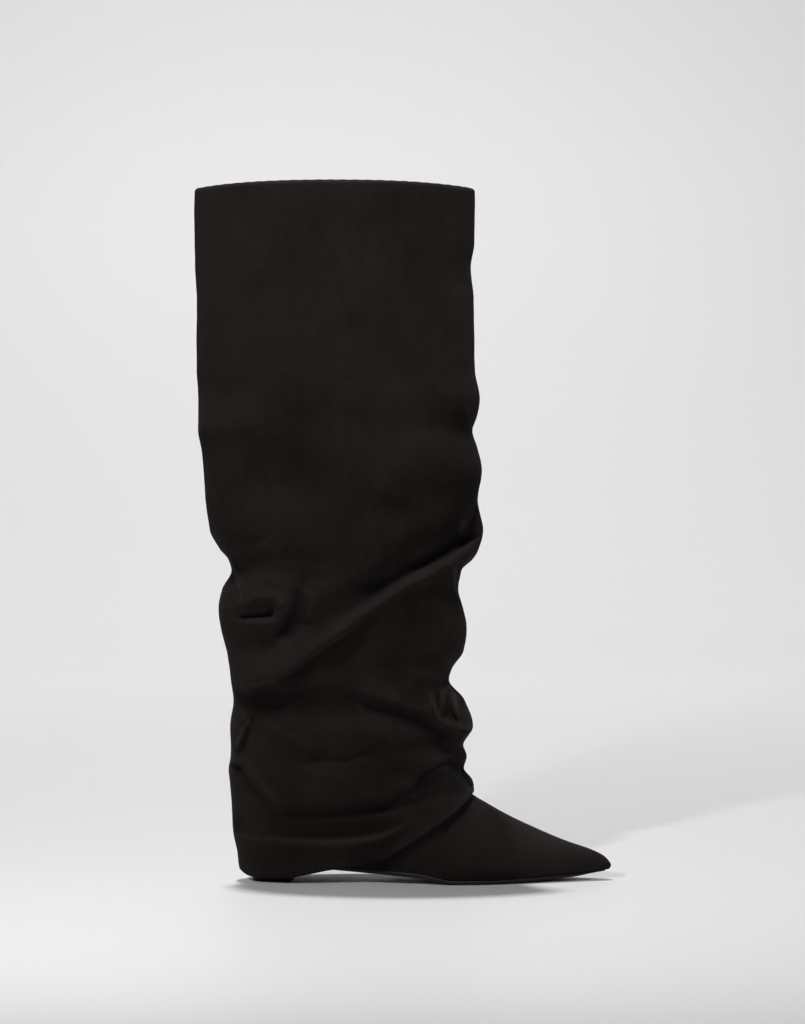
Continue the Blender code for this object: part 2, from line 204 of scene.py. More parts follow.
def mathNode(tree, operation, first, second):
    node = tree.nodes.new("ShaderNodeMath")
    node.operation = operation
    for socket, value in zip(node.inputs, (first, second)):
        if isinstance(value, (int, float)):
            socket.default_value = value
        else:
            tree.links.new(value, socket)
    return node.outputs[0]


def noiseNode(tree, vector, scale, detail, roughness=0.5):
    node = tree.nodes.new("ShaderNodeTexNoise")
    node.inputs["Detail"].default_value = detail
    node.inputs["Roughness"].default_value = roughness
    tree.links.new(vector, node.inputs["Vector"])
    if isinstance(scale, (int, float)):
        node.inputs["Scale"].default_value = scale
    else:
        tree.links.new(scale, node.inputs["Scale"])
    return node.outputs["Fac"]


def stretchNode(tree, vector, scale):
    node = tree.nodes.new("ShaderNodeMapping")
    node.inputs["Scale"].default_value = scale
    tree.links.new(vector, node.inputs["Vector"])
    return node.outputs["Vector"]


def rangeNode(tree, value, fromLow, fromHigh, toLow, toHigh):
    node = tree.nodes.new("ShaderNodeMapRange")
    for socket, number in zip(list(node.inputs)[1:5], (fromLow, fromHigh, toLow, toHigh)):
        socket.default_value = number
    tree.links.new(value, node.inputs[0])
    return node.outputs[0]


def mixColour(tree, factor, first, second):
    node = tree.nodes.new("ShaderNodeMix")
    node.data_type = "RGBA"
    tree.links.new(factor, node.inputs["Factor"])
    for socket, value in zip((node.inputs[6], node.inputs[7]), (first, second)):
        if isinstance(value, tuple):
            socket.default_value = (*value, 1.0)
        else:
            tree.links.new(value, socket)
    return node.outputs[2]


def bumpNode(tree, height, strength, distance, below=None):
    node = tree.nodes.new("ShaderNodeBump")
    node.inputs["Strength"].default_value = strength
    node.inputs["Distance"].default_value = distance
    tree.links.new(height, node.inputs["Height"])
    if below is not None:
        tree.links.new(below, node.inputs["Normal"])
    return node.outputs["Normal"]


cloudLook = {
    "patches": (4.0, 0.55),  # detail and roughness of the noise
    "flecks": (3.0, 0.6),
    "patchRange": (0.36, 0.64, 0.0, 0.70),
    "fleckRange": (0.30, 0.70, 0.0, 0.36),
    "grain": (3.0, 0.65),
}


def softCloudsGroup():
    # uneven tone of a dyed or brushed surface, in large patches and small ones
    group, given, out = newGroup(
        "softClouds",
        [("Vector", "NodeSocketVector", None), ("Patch Scale", "NodeSocketFloat", 18.0),
         ("Fleck Scale", "NodeSocketFloat", 160.0)],
        [("Shade", "NodeSocketFloat")])
    patches = noiseNode(group, given.outputs["Vector"], given.outputs["Patch Scale"], *cloudLook["patches"])
    flecks = noiseNode(group, given.outputs["Vector"], given.outputs["Fleck Scale"], *cloudLook["flecks"])
    wide = rangeNode(group, patches, *cloudLook["patchRange"])
    fine = rangeNode(group, flecks, *cloudLook["fleckRange"])
    group.links.new(mathNode(group, "ADD", wide, fine), out.inputs["Shade"])
    return group


def fineGrainGroup():
    # height of a fine raised grain: short fibres, pores or moulded matt skin
    group, given, out = newGroup(
        "fineGrain",
        [("Vector", "NodeSocketVector", None), ("Grain Scale", "NodeSocketFloat", 1400.0)],
        [("Height", "NodeSocketFloat")])
    grain = noiseNode(group, given.outputs["Vector"], given.outputs["Grain Scale"], *cloudLook["grain"])
    group.links.new(grain, out.inputs["Height"])
    return group


def newMaterial(name, roughness, sheen=None):
    material = bpy.data.materials.new(name)
    material.use_nodes = True
    tree = material.node_tree
    shader = tree.nodes["Principled BSDF"]
    shader.inputs["Roughness"].default_value = roughness
    if sheen:
        for label, value in zip(("Sheen Weight", "Sheen Roughness", "Sheen Tint"), sheen):
            shader.inputs[label].default_value = value
    place = tree.nodes.new("ShaderNodeTexCoord").outputs["Object"]
    return material, tree, shader, place


def useGroup(tree, group, place, **values):
    node = tree.nodes.new("ShaderNodeGroup")
    node.node_tree = group
    tree.links.new(place, node.inputs["Vector"])
    for label, value in values.items():
        node.inputs[label.replace("_", " ")].default_value = value
    return node.outputs[0]


def feed(tree, shader, **sources):
    for label, source in sources.items():
        tree.links.new(source, shader.inputs[label.replace("_", " ")])


softClouds = softCloudsGroup()
fineGrain = fineGrainGroup()


def cloudsOn(tree, place, look):
    return useGroup(tree, softClouds, place, Patch_Scale=look["patchScale"], Fleck_Scale=look["fleckScale"])


suedeLook = {
    "deep": (0.0074, 0.0058, 0.0053),
    "brushed": (0.0152, 0.0119, 0.0110),
    "roughness": 0.94,
    "sheen": (0.035, 0.45, (1.0, 0.86, 0.82, 1.0)),
    "specular": 0.08,
    "streakStretch": (1.0, 1.0, 0.22),
    "streaks": (120.0, 3.0, 0.6),
    "streakRange": (0.3, 0.7, 0.72, 1.25),
    "patchScale": 15.0,
    "fleckScale": 360.0,
    "napScale": 1500.0,
    "napRange": (0.3, 0.7, 0.75, 1.25),
    "napBump": (0.32, 0.0006),
    "roughRange": (0.0, 1.0, 0.98, 0.88),
    # painted shade and painted highlight: the colour painted into tucks, then the ranges that paint crests
    # lighter and tucks darker
    "tuck": (0.0025, 0.0020, 0.0019),
    "paintedShadingRange": (-1.5, 1.5, -0.3, 0.5),
    "paintedTuckShadeRange": (-0.7, -4.5, 0.0, 0.7),
}


def blackSuede():
    material, tree, shader, place = newMaterial("blackSuede", suedeLook["roughness"], suedeLook["sheen"])
    shader.inputs["Specular IOR Level"].default_value = suedeLook["specular"]
    brushedPlace = stretchNode(tree, place, suedeLook["streakStretch"])
    clouds = cloudsOn(tree, place, suedeLook)
    streaks = noiseNode(tree, brushedPlace, *suedeLook["streaks"])
    shade = mathNode(tree, "MULTIPLY", clouds, rangeNode(tree, streaks, *suedeLook["streakRange"]))
    nap = useGroup(tree, fineGrain, place, Grain_Scale=suedeLook["napScale"])
    flecked = mathNode(tree, "MULTIPLY", shade, rangeNode(tree, nap, *suedeLook["napRange"]))
    wornAndPaintedLight = tree.nodes.new("ShaderNodeAttribute")
    wornAndPaintedLight.attribute_name = "paintedShading"  # height of a crest over the cloth around it, below nought in a tuck: painted highlight on crests, painted shade in tucks
    paintedCrestLight = rangeNode(tree, wornAndPaintedLight.outputs["Fac"], *suedeLook["paintedShadingRange"])
    tucks = rangeNode(tree, wornAndPaintedLight.outputs["Fac"], *suedeLook["paintedTuckShadeRange"])
    # crests painted lighter as a painted highlight, then tucks painted towards the dark tuck colour as
    # painted shade
    tone = mixColour(tree, mathNode(tree, "ADD", flecked, paintedCrestLight), suedeLook["deep"], suedeLook["brushed"])
    feed(tree, shader, Base_Color=mixColour(tree, tucks, tone, suedeLook["tuck"]),
         Roughness=rangeNode(tree, clouds, *suedeLook["roughRange"]),
         Normal=bumpNode(tree, nap, *suedeLook["napBump"]))
    return material


liningLook = {
    "dark": (0.009, 0.0086, 0.0086),
    "light": (0.021, 0.020, 0.0198),
    "roughness": 0.82,
    "threadScales": (("DIAGONAL", 387.5), ("Z", 620.0)),
    "threadWander": 0.6,
    "patchScale": 26.0,
    "fleckScale": 300.0,
    "weaveRange": (0.0, 1.0, 0.35, 1.0),
    "weaveBump": (0.35, 0.0004),
    "sheen": (0.1, 0.4, (1.0, 1.0, 1.0, 1.0)),
}


def blackLining():
    material, tree, shader, place = newMaterial("blackLining", liningLook["roughness"], liningLook["sheen"])
    ribs = []
    for direction, scale in liningLook["threadScales"]:
        wave = tree.nodes.new("ShaderNodeTexWave")
        wave.bands_direction = direction
        wave.inputs["Scale"].default_value = scale
        wave.inputs["Distortion"].default_value = liningLook["threadWander"]
        tree.links.new(place, wave.inputs["Vector"])
        ribs.append(wave.outputs["Fac"])
    weave = mathNode(tree, "MULTIPLY", *ribs)
    clouds = cloudsOn(tree, place, liningLook)
    shade = mathNode(tree, "MULTIPLY", rangeNode(tree, weave, *liningLook["weaveRange"]), clouds)
    feed(tree, shader, Base_Color=mixColour(tree, shade, liningLook["dark"], liningLook["light"]),
         Normal=bumpNode(tree, weave, *liningLook["weaveBump"]))
    return material


soleLook = {
    "dark": (0.0065, 0.0062, 0.0061),
    "wornAndPaintedLight": (0.0135, 0.0130, 0.0127),
    "roughness": 0.56,
    "roughRange": (0.0, 1.0, 0.48, 0.68),
    "patchScale": 30.0,
    "fleckScale": 240.0,
    "grainScale": 900.0,
    "grainBump": (0.18, 0.0004),
    "specular": 0.25,
}


def blackRubber():
    material, tree, shader, place = newMaterial("blackRubber", soleLook["roughness"])
    shader.inputs["Specular IOR Level"].default_value = soleLook["specular"]
    clouds = cloudsOn(tree, place, soleLook)
    grain = useGroup(tree, fineGrain, place, Grain_Scale=soleLook["grainScale"])
    feed(tree, shader, Base_Color=mixColour(tree, clouds, soleLook["dark"], soleLook["wornAndPaintedLight"]),
         Roughness=rangeNode(tree, clouds, *soleLook["roughRange"]),
         Normal=bumpNode(tree, grain, *soleLook["grainBump"]))
    return material


threadLook = {
    "dark": (0.0065, 0.0055, 0.0052),
    "light": (0.0115, 0.0096, 0.0091),
    "roughness": 0.8,
    "twistScale": 1900.0,
    "twistRange": (0.3, 0.7, 0.0, 1.0),
    "twistBump": (0.3, 0.0003),
}


def blackThread():
    material, tree, shader, place = newMaterial("blackThread", threadLook["roughness"])
    twist = useGroup(tree, fineGrain, place, Grain_Scale=threadLook["twistScale"])
    shade = rangeNode(tree, twist, *threadLook["twistRange"])
    feed(tree, shader, Base_Color=mixColour(tree, shade, threadLook["dark"], threadLook["light"]),
         Normal=bumpNode(tree, twist, *threadLook["twistBump"]))
    return material


suede = blackSuede()
lining = blackLining()
rubber = blackRubber()
thread = blackThread()
print("materials ready")


# The last and the foot of the upper, in the sizes of the solid model

last = {
    "heelBack": -119.0,
    "footLength": 273.3,
    "ballWidth": 83.0,
    "plan": [  # along, lateral share, medial share
        (0.000, 0.62, 0.62), (0.088, 0.66, 0.66), (0.143, 0.73, 0.72), (0.216, 0.78, 0.69),
        (0.289, 0.82, 0.66), (0.362, 0.87, 0.67), (0.435, 0.93, 0.74), (0.509, 0.98, 0.86),
        (0.582, 0.99, 0.96), (0.637, 0.96, 1.00), (0.692, 0.88, 0.96), (0.746, 0.75, 0.86),
        (0.801, 0.59, 0.71), (0.856, 0.43, 0.55), (0.911, 0.28, 0.39), (0.955, 0.17, 0.26),
        (1.000, 0.10, 0.17)],
    "underside": [  # x, height
        (-121.0, 16.4), (-62.0, 11.4), (-30.0, 8.7), (-2.0, 6.2), (12.0, 5.0), (20.0, 3.6), (28.0, 1.5),
        (36.0, 0.0), (66.0, 0.0), (86.0, 1.3), (121.0, 2.9), (154.3, 4.8)],
    "soleThickness": 3.0,
    "gap": 0.3,
    "vampRoundness": 2.15,
    "featherTuck": 0.05,
    "featherTuckShare": 0.22,
    "heelRound": (30.0, 2.2),
    "toeRound": (9.0, 2.0),
    "toeRoundHeights": (10.0, 20.0),
    "soleInset": 1.6,
    "soleToeInset": 4.4,
    "leastHalfWidth": 0.4,
}

upperSize = {
    "lines": [  # height, back line, front line, half width of the leg
        (5.0, -115.5, 149.5, 30.0), (10.5, -116.5, 154.3, 30.0), (17.0, -117.6, 150.0, 30.0),
        (22.5, -118.4, 139.5, 30.0), (28.6, -118.8, 122.0, 30.0), (38.2, -119.0, 98.6, 30.0),
        (49.3, -118.8, 75.2, 30.0), (57.0, -118.4, 62.0, 30.0), (64.5, -118.0, 50.4, 30.0),
        (76.0, -117.4, 42.0, 30.5), (92.0, -117.0, 35.5, 31.0), (112.0, -117.0, 31.0, 32.0),
        (150.0, -117.5, 28.5, 33.0), (230.0, -119.5, 31.0, 34.5), (290.0, -130.0, 38.0, 36.0),
        (400.0, -141.0, 44.0, 38.5), (514.0, -149.0, 49.0, 41.0)],
    "ridgeRows": (1, 13),  # the lines that make the ridge of the vamp
    "wall": 1.6,
    "levelFade": 70.0,
    "levelPasses": 14,
    "levelShare": 0.5,
    "legBlend": (58.0, 112.0),
    "legTop": 493.0,
    "legHug": (420.0, 470.0),
    "legInset": (1.6, 2.4),
    "columns": 176,
    "columnCrowding": 0.22,
    "footRows": (62.0, 52, 1.15),  # height, count, crowding towards the sole
    "legRows": (64.0, 56),
    "wobble": (0.35, 26.0, 4),  # depth, size, seed
    "wobbleStart": (6.0, 20.0),
}

lateralShare = curveThrough(last["plan"], 1)
medialShare = curveThrough(last["plan"], 2)
soleUnder = curveThrough(last["underside"], 1)
upperBack = curveThrough(upperSize["lines"], 1)
upperFront = curveThrough(upperSize["lines"], 2)
legHalfWidth = curveThrough(upperSize["lines"], 3)
ridgeHeight = curveThrough([(front, z) for z, back, front, width
                             in upperSize["lines"][slice(*upperSize["ridgeRows"])]], 1)


def featherHeight(x):
    return soleUnder(x) + last["soleThickness"] + last["gap"]


def planHalfWidth(x, side):
    along = (x - last["heelBack"]) / last["footLength"]
    return np.where(side < 0, lateralShare(along), medialShare(along)) * last["ballWidth"] / 2


def footHalfWidth(x, z, side, back, front):
    low = featherHeight(x)
    top = np.maximum(ridgeHeight(x), low + 1.0)
    rise = np.clip((z - low) / (top - low), 0.0, 1.0)
    dome = (1.0 - rise ** last["vampRoundness"]) ** (1.0 / last["vampRoundness"])
    tuck = 1.0 - last["featherTuck"] * np.maximum(0.0, 1.0 - rise / last["featherTuckShare"]) ** 2
    heel = endRound(x - back, *last["heelRound"])
    toe = endRound(front - x, *last["toeRound"])
    toe = toe + (1.0 - toe) * easeStep(*last["toeRoundHeights"], z)
    return planHalfWidth(x, side) * dome * tuck * heel * toe


def soleEnds(inset):
    toe = last["heelBack"] + last["footLength"] - last["soleToeInset"]
    return last["heelBack"] + inset, toe - 2 * (inset - last["soleInset"])


def soleHalfWidth(x, side, inset):
    back, front = soleEnds(inset)
    ends = endRound(x - back, *last["heelRound"]) * endRound(front - x, *last["toeRound"])
    return np.maximum(last["leastHalfWidth"], (planHalfWidth(x, side) - inset) * ends)


# The turned-over shaft: its outline, hem, top roll and folds

shaft = {
    "lines": [  # height, back line, front line, half width, roundness of the section
        (0.0, -117.0, 96.0, 43.0, 2.0), (8.0, -120.2, 92.0, 43.2, 2.0),
        (22.0, -122.5, 84.0, 43.4, 2.0), (37.0, -125.4, 74.0, 43.7, 1.95),
        (66.3, -127.0, 52.9, 44.5, 1.85), (73.0, -127.6, 52.2, 44.8, 1.8),
        (82.6, -128.3, 45.4, 45.0, 1.75), (91.0, -127.0, 47.2, 45.2, 1.75),
        (99.6, -126.8, 44.6, 45.4, 1.75), (114.0, -127.4, 51.8, 45.8, 1.75),
        (133.0, -125.2, 45.8, 46.0, 1.75), (148.0, -126.9, 34.2, 46.2, 1.75),
        (156.0, -127.8, 36.6, 46.3, 1.75), (170.0, -129.9, 45.4, 46.4, 1.75),
        (185.0, -133.6, 47.2, 46.6, 1.75), (200.0, -135.9, 44.8, 46.8, 1.75),
        (215.0, -133.4, 41.0, 47.0, 1.75), (229.0, -126.4, 43.6, 47.2, 1.75),
        (237.0, -128.6, 51.6, 47.3, 1.75), (245.0, -135.0, 56.4, 47.4, 1.75),
        (259.0, -142.4, 59.6, 47.6, 1.7), (281.0, -145.4, 55.6, 48.0, 1.7),
        (302.0, -147.0, 58.8, 48.0, 1.65), (320.0, -148.8, 55.4, 48.0, 1.6),
        (332.0, -151.2, 51.8, 47.8, 1.6), (343.0, -151.4, 55.6, 47.6, 1.55),
        (355.0, -151.3, 57.4, 47.4, 1.55), (377.0, -152.2, 53.8, 47.0, 1.5),
        (430.0, -152.4, 52.9, 46.0, 1.4), (452.0, -153.8, 50.7, 45.6, 1.35),
        (472.0, -154.3, 53.4, 45.2, 1.35), (514.0, -154.3, 53.7, 44.0, 1.3)],
    "hem": [  # x, height
        (-120.2, 8.0), (-116.0, 5.4), (-108.0, 4.0), (-92.0, 4.0), (-76.0, 6.2), (-55.0, 10.8),
        (-31.0, 14.2), (-18.0, 17.0), (-5.0, 23.0), (8.0, 31.5), (21.5, 40.7), (34.6, 49.6),
        (45.2, 58.5), (52.9, 66.3)],
    "height": 514.0,
    "topDip": (2.4, 3),  # depth, sharpness
    "wall": 1.3,
    "hemEase": 70.0,
    "footEase": 2.4,
    "footEaseRun": (0.0, 14.0),
    "footClearance": 1.2,
    "clearanceRun": (-60.0, 0.0),  # along the foot, from none of it to all
    "clearanceEdge": (0.0, 10.0),
    "foldSideFade": 0.34,
    "foldCutoff": 2.6,
    "foldEndFade": 0.2,
    "foldLeast": 0.25,
    "foldSag": 0.3,
    "foldSagRun": (14.0, 40.0),
    "columns": (100, 150),
    "columnsEvened": 0.72,
    "columnSamples": 1001,
    "columnOval": (95.0, 47.0, 1.18),  # half length, half width and fullness to spread them on
    "rowsBelowTop": 6.0,  # hem and roll, left out of the rows' length
    "hemRows": (0.0, 0.4, 1.0, 1.6, 2.2, 2.8, 3.5, 4.2, 4.9, 5.7, 6.6),
    "foldRows": (7.8, 264.0, 218),  # start, end, count
    "plainRows": (267.0, 8.0, 58),  # start, end below the top, count
    "topRows": (5.0, 3.0, 1.4, 0.0),
    "backRows": ((0, 2, 5, 8, 10), (14, 18, 8)),  # at the hem; then start, rows left out, step
    "backWindow": (12, 9),  # rows and columns looked at each way
    "backRoom": (1.0, 4.0),  # off the cloth, below the facing
    # reach and fade-out heights of the painted shading over the folds
    "paintedShadingReach": 5,
    "paintedShadingHeights": (252.0, 276.0),
    "rollHeight": 2.8,
    "rollSteps": 6,
    "rollInset": (6.2, 7.2),
    "facingRows": (2.0, 5.0, 9.0, 14.0, 19.0, 24.0),
    "scallop": (0.12, 9.5),
    "hemStitchLines": (2.2, 4.2),
    "hemTurn": (0.3, 5.0, 7.0),
    "hemEdge": (0.75, 1.0),
    "stitchGroove": (0.22, 0.55),
    "reliefStart": (4.0, 16.0),
    "clothWaves": ((0.55, 30.0, 1), (0.22, 9.0, 2)),  # depth, size, seed
    "seamGroove": (0.45, 0.7),
    "seamWelt": (0.35, 2.4, 1.2),
}

shaftBack = curveThrough(shaft["lines"], 1)
shaftFront = curveThrough(shaft["lines"], 2)
shaftHalfWidth = curveThrough(shaft["lines"], 3)
shaftRound = curveThrough(shaft["lines"], 4)
hemHeight = curveThrough(shaft["hem"], 1)

# Folds by side: path in side view, rise out of the cloth, reach above and below the path, and
# how soft the crest is. Rise and reach are given for start and end, or once where both are equal.
outerFolds = [
    # long fold from the front down to the back: crest, ramp, step below it and tuck above it
    ([(60, 249), (44.7, 240), (38.7, 236.8), (27.3, 231), (14.2, 225), (1.8, 219.6), (-11.6, 211.6),
      (-28.3, 200.6), (-45.1, 188.6), (-58, 178.5), (-72, 168)], (2.4, 2.6), (2.2, 3.0), (9, 4.6), 1.7),
    ([(66, 246), (38, 234.5), (5.2, 219.5), (-11.6, 209.5), (-28.3, 198.4), (-41.7, 188), (-64, 171)],
     (3.2, 3.4), (6, 12), (22, 9), 1.7),
    ([(-18, 206), (-41.7, 188.8), (-55.1, 178.6), (-65.2, 170.4), (-78.6, 160.8), (-90.3, 154.4),
      (-107, 148.4), (-124, 143)], (3.6, 6.4), (5, 17), (3.2, 3.4), 1.9),
    ([(-20, 197.5), (-45, 180.5), (-55, 173), (-65, 164.6), (-78.6, 154.2), (-90.3, 146), (-107, 139),
      (-126, 133)], (-0.6, -2.2), (4, 7), (12, 16), 2.0),
    ([(80, 269), (57, 255.4), (41.8, 246.6), (27.3, 238), (14.2, 231.6), (1.8, 225.8), (-11.3, 218),
      (-23.6, 210.4), (-46, 197)], (-7, -6), (16, 12), (2.4, 2.6), 1.8),
    ([(80, 269.4), (57, 255.8), (41.8, 247), (27.3, 238.2), (14.2, 231.4), (1.8, 224.8), (-11.3, 216.8),
      (-22, 209.8), (-33, 203)], (-5.6, -3.6), (7, 6), 2.4, 1.8),
    ([(80, 280), (45, 262), (20, 249), (-5, 236), (-30, 221)], (-5, -4), (12, 9), (9, 8), 2.0),
    ([(60, 280), (10, 256), (-30, 240), (-70, 224), (-108, 208)], (-3.6, -3.0), (40, 34), 12, 2.0),
    # slit pocket near the back with its two lips, and the crease that runs down into it
    ([(-121.5, 195.2), (-115, 195.5), (-108, 195.8), (-101, 196.2), (-96, 197), (-91, 198.4)],
     (-2.4, -5.6), (1.4, 3.8), (1.3, 1.6), 1.7),
    ([(-108, 202.6), (-102, 202.6), (-92, 200.4)], (-0.6, -2.2), (3, 4), 4, 2.0),
    ([(-120, 197.5), (-115.5, 203.5), (-108, 209.2), (-99, 210.6), (-91, 207), (-87, 200)],
     (2.6, 2.2), 5, (2.4, 2.6), 1.5),
    ([(-124, 192.6), (-108, 191.4), (-88, 191.6)], (2.8, 2.2), 1.7, 7, 1.5),
    ([(-133, 248), (-123.9, 231.5), (-118.5, 219.7), (-116.4, 209.7), (-117, 201)],
     (3.0, 2.6), 1.9, 1.9, 1.4),
    ([(-126, 224), (-121.5, 214), (-119.5, 206)], (-2.4, -2.2), 2.4, 2.4, 1.7),
    # soft dimple beside the pocket
    ([(-69, 236), (-72.6, 222), (-75, 210), (-77, 201), (-80, 191), (-87, 182), (-97, 175),
      (-112, 167)], (-2.2, -2.6), (7, 8), (7, 8), 2.0),
    ([(-74, 219), (-75.8, 208), (-77.4, 199), (-80.4, 190), (-91, 177)], (-2.2, -3.8), (6, 7), (6, 7), 2.0),
    ([(-64, 216), (-67, 203), (-71, 190)], (2.0, 1.8), 8, 5, 2.0),
    ([(-91, 208), (-89, 198), (-92, 188)], (1.6, 1.4), 4, 4, 2.0),
    # broad trough across the ankle, deepest at the front
    ([(-160, 136), (-118, 136.4), (-95, 137.6), (-68, 140.4), (-50, 139.6), (-35, 134.6), (-20, 130),
      (-5, 125.6), (5, 121.2), (15, 116.6), (26, 111.6), (38, 108.4), (70, 103)],
     (-1.6, -4.0), (8, 3.8), (20, 6), 1.7),
    ([(-34, 143), (-12, 137), (6, 130.4), (22, 124)], 2.4, (14, 10), 3.4, 1.6),
    ([(-118, 140), (-98, 138), (-84, 135), (-62, 131), (-30, 126)], (-2.0, -2.4), (9, 10), 12, 2.0),
    ([(-70, 118), (-46, 118), (-22, 114), (-6, 109)], (1.2, 1.4), (9, 8), (10, 9), 2.0),
    ([(0, 151), (16, 151), (34, 149)], (1.0, 3.4), 7, 6, 2.0),
    # pinched folds at the front of the ankle
    ([(21, 143), (21.6, 134), (23.2, 127), (28, 119.8), (38, 115.4), (48, 112), (66, 107)],
     (5, 6), (2.2, 2.6), (6, 7), 1.6),
    ([(26.4, 141), (25.8, 136), (26.4, 129.4), (29.4, 123.6), (40, 118.6)], (-3.6, -1.4), 2.8, 2.4, 1.8),
    ([(21, 141), (22, 134), (24, 127), (29, 120.6), (38, 116.4), (48, 113)], (2.8, 2.4), 1.2, 1.4, 1.6),
    ([(36.5, 156), (33.2, 144.5), (30.4, 136.5), (28.8, 128.4), (28, 119)], (7.4, 6.4), 1.6, 1.5, 1.5),
    ([(34, 146), (33, 134), (34, 121)], (-3.6, -3.0), 2.2, 2.0, 1.8),
    ([(33.6, 152), (35.6, 139), (37.2, 130), (41, 120)], (7.0, 6.0), 1.6, 1.5, 1.5),
    ([(43, 152), (41.2, 139), (43.6, 124)], (-6.0, -5.4), 3.6, 3.6, 1.8),
    # fold from the front point down over the instep, dark tuck below it
    ([(58, 115), (45.4, 105.8), (35.3, 96.4), (27, 88), (16.9, 79.4), (11, 71.4), (7.4, 62)],
     (2.2, 5.5), (12, 10), (4.4, 2.2), 1.5),
    ([(46, 92.4), (37, 89), (28, 83.6), (20.5, 77.4), (13, 69.6)], (-0.8, -3.4), (3.8, 3.2), (8, 6), 1.9),
    ([(56, 83.4), (45, 82.4), (32, 80.4), (22.7, 78), (15.7, 74.2), (10, 67)],
     (-3.4, -6.4), (4.4, 4), (4, 3.6), 1.8),
    ([(70, 71), (43.7, 68.7), (22, 65.8), (6.9, 61.2), (-8.2, 57), (-25, 54.6), (-50, 52.4),
      (-80, 51.4), (-112, 52)], (-6.5, -1.4), (6, 4), (2.4, 6), 1.8),
    # soft band round the heel and the thin crease below it
    ([(-160, 43), (-95, 43), (-78, 43), (-50, 43), (-25, 45), (2, 53)], (-1.4, -1.8), (8, 7), 6, 2.0),
    ([(-160, 37.6), (-113.8, 36.2), (-95.4, 35.9), (-70.2, 34.2), (-45, 34.5), (-19.9, 37.9),
      (-1.5, 45.4), (16, 57)], (-3.4, -5.0), (10, 11), 1.9, 1.6),
    ([(-160, 33.4), (-113, 32.4), (-95, 32), (-70, 30.4), (-45, 30.8), (-20, 34.4), (0, 43), (16, 54)],
     0.9, 1.9, (14, 10), 1.5),
    # front of the hem, drawn in to the foot
    ([(-44, 8), (-18, 16), (0, 24), (20, 38), (50, 60)], -7, 12, 9, 2.0),
    # pinch and bent creases on the back of the ankle
    ([(-132, 147), (-122.2, 130), (-118, 122.5), (-113.4, 114)], 4.6, 2.2, 1.7, 1.4),
    ([(-113.2, 119), (-117, 109), (-122, 98)], (4.4, 3.6), 1.8, 1.8, 1.4),
    ([(-110, 124), (-110.8, 114), (-113.6, 106), (-119, 96)], (-2.4, -1.6), 2.6, 2.6, 1.8),
    ([(-140, 88.4), (-125.5, 89), (-118.8, 89.4), (-112.1, 82.3), (-105.4, 73.9), (-95.4, 62.2),
      (-87, 52)], (4.6, 2.6), (3.2, 3.6), (1.7, 2.0), 1.4),
    ([(-140, 85), (-122, 85.6), (-115, 81)], (-3.4, -3.2), 1.8, 3, 1.7),
    ([(-108, 122), (-90.3, 113), (-70, 103), (-58, 99)], (1.3, 1.2), 3, 5, 1.6),
    # short marks over the heel and slow waves higher up
    ([(-78, 90), (-64, 89.6), (-54, 91), (-42, 90.4), (-32, 94), (-14, 96.8)], (-1.2, -1.3), 3.8, 2.6, 1.8),
    ([(-70, 81), (-42, 79), (-8, 83)], 1.0, 7, 9, 2.0),
    ([(36, 240), (36.7, 228), (37.6, 218), (40.2, 210), (46, 201)], (3.6, 3.2), 1.3, 1.2, 1.4),
    ([(41, 239), (42, 226), (42.6, 215), (47, 205)], (-5.5, -5), 3.2, 3.0, 1.8),
    # front edge above the long fold
    ([(58, 287), (52.6, 277), (47.5, 266), (41, 253)], (4.2, 3.4), 2.4, 1.9, 1.4),
    ([(62, 280), (57, 269), (51, 258)], (-4, -4.4), 4.8, 4.8, 1.8),
    ([(48.5, 350), (47.3, 338), (49.5, 329), (56, 320)], 2.4, 2.6, 2.0, 1.4),
    ([(39, 346), (40.5, 333), (46, 318)], -1.2, 7, 5, 2.0),
    ([(45.6, 459), (47.4, 449), (51, 439)], (2.0, 1.8), 2.2, 2.0, 1.4),
    ([(38.6, 460), (40.6, 446), (45, 432)], (-1.6, -1.4), 7, 5, 2.0),
    # long shallow hollows of the upper shaft
    ([(-158, 366), (-128, 358), (-100, 362)], (-1.6, -1.0), 11, 11, 2.0),
    ([(-158, 340), (-128, 338), (-102, 344)], (1.2, 0.9), 10, 10, 2.0),
    ([(-152, 297), (-110, 287), (-70, 290), (-30, 284)], (-1.5, -1.0), 14, 14, 2.0),
    ([(-146, 266), (-110, 262), (-76, 254), (-42, 240)], 1.4, 14, 12, 2.0),
    ([(22, 334), (2, 304), (-10, 272)], (1.8, 2.2), 16, 16, 2.0),
    ([(-104, 252), (-96, 236), (-98, 216)], (2.0, 1.8), 10, 10, 2.0),
    ([(-60, 420), (-40, 380), (-46, 340)], (1.6, 1.4), 24, 24, 2.0),
    ([(10, 440), (-4, 400), (10, 360)], (-1.6, -1.4), 20, 20, 2.0),
]
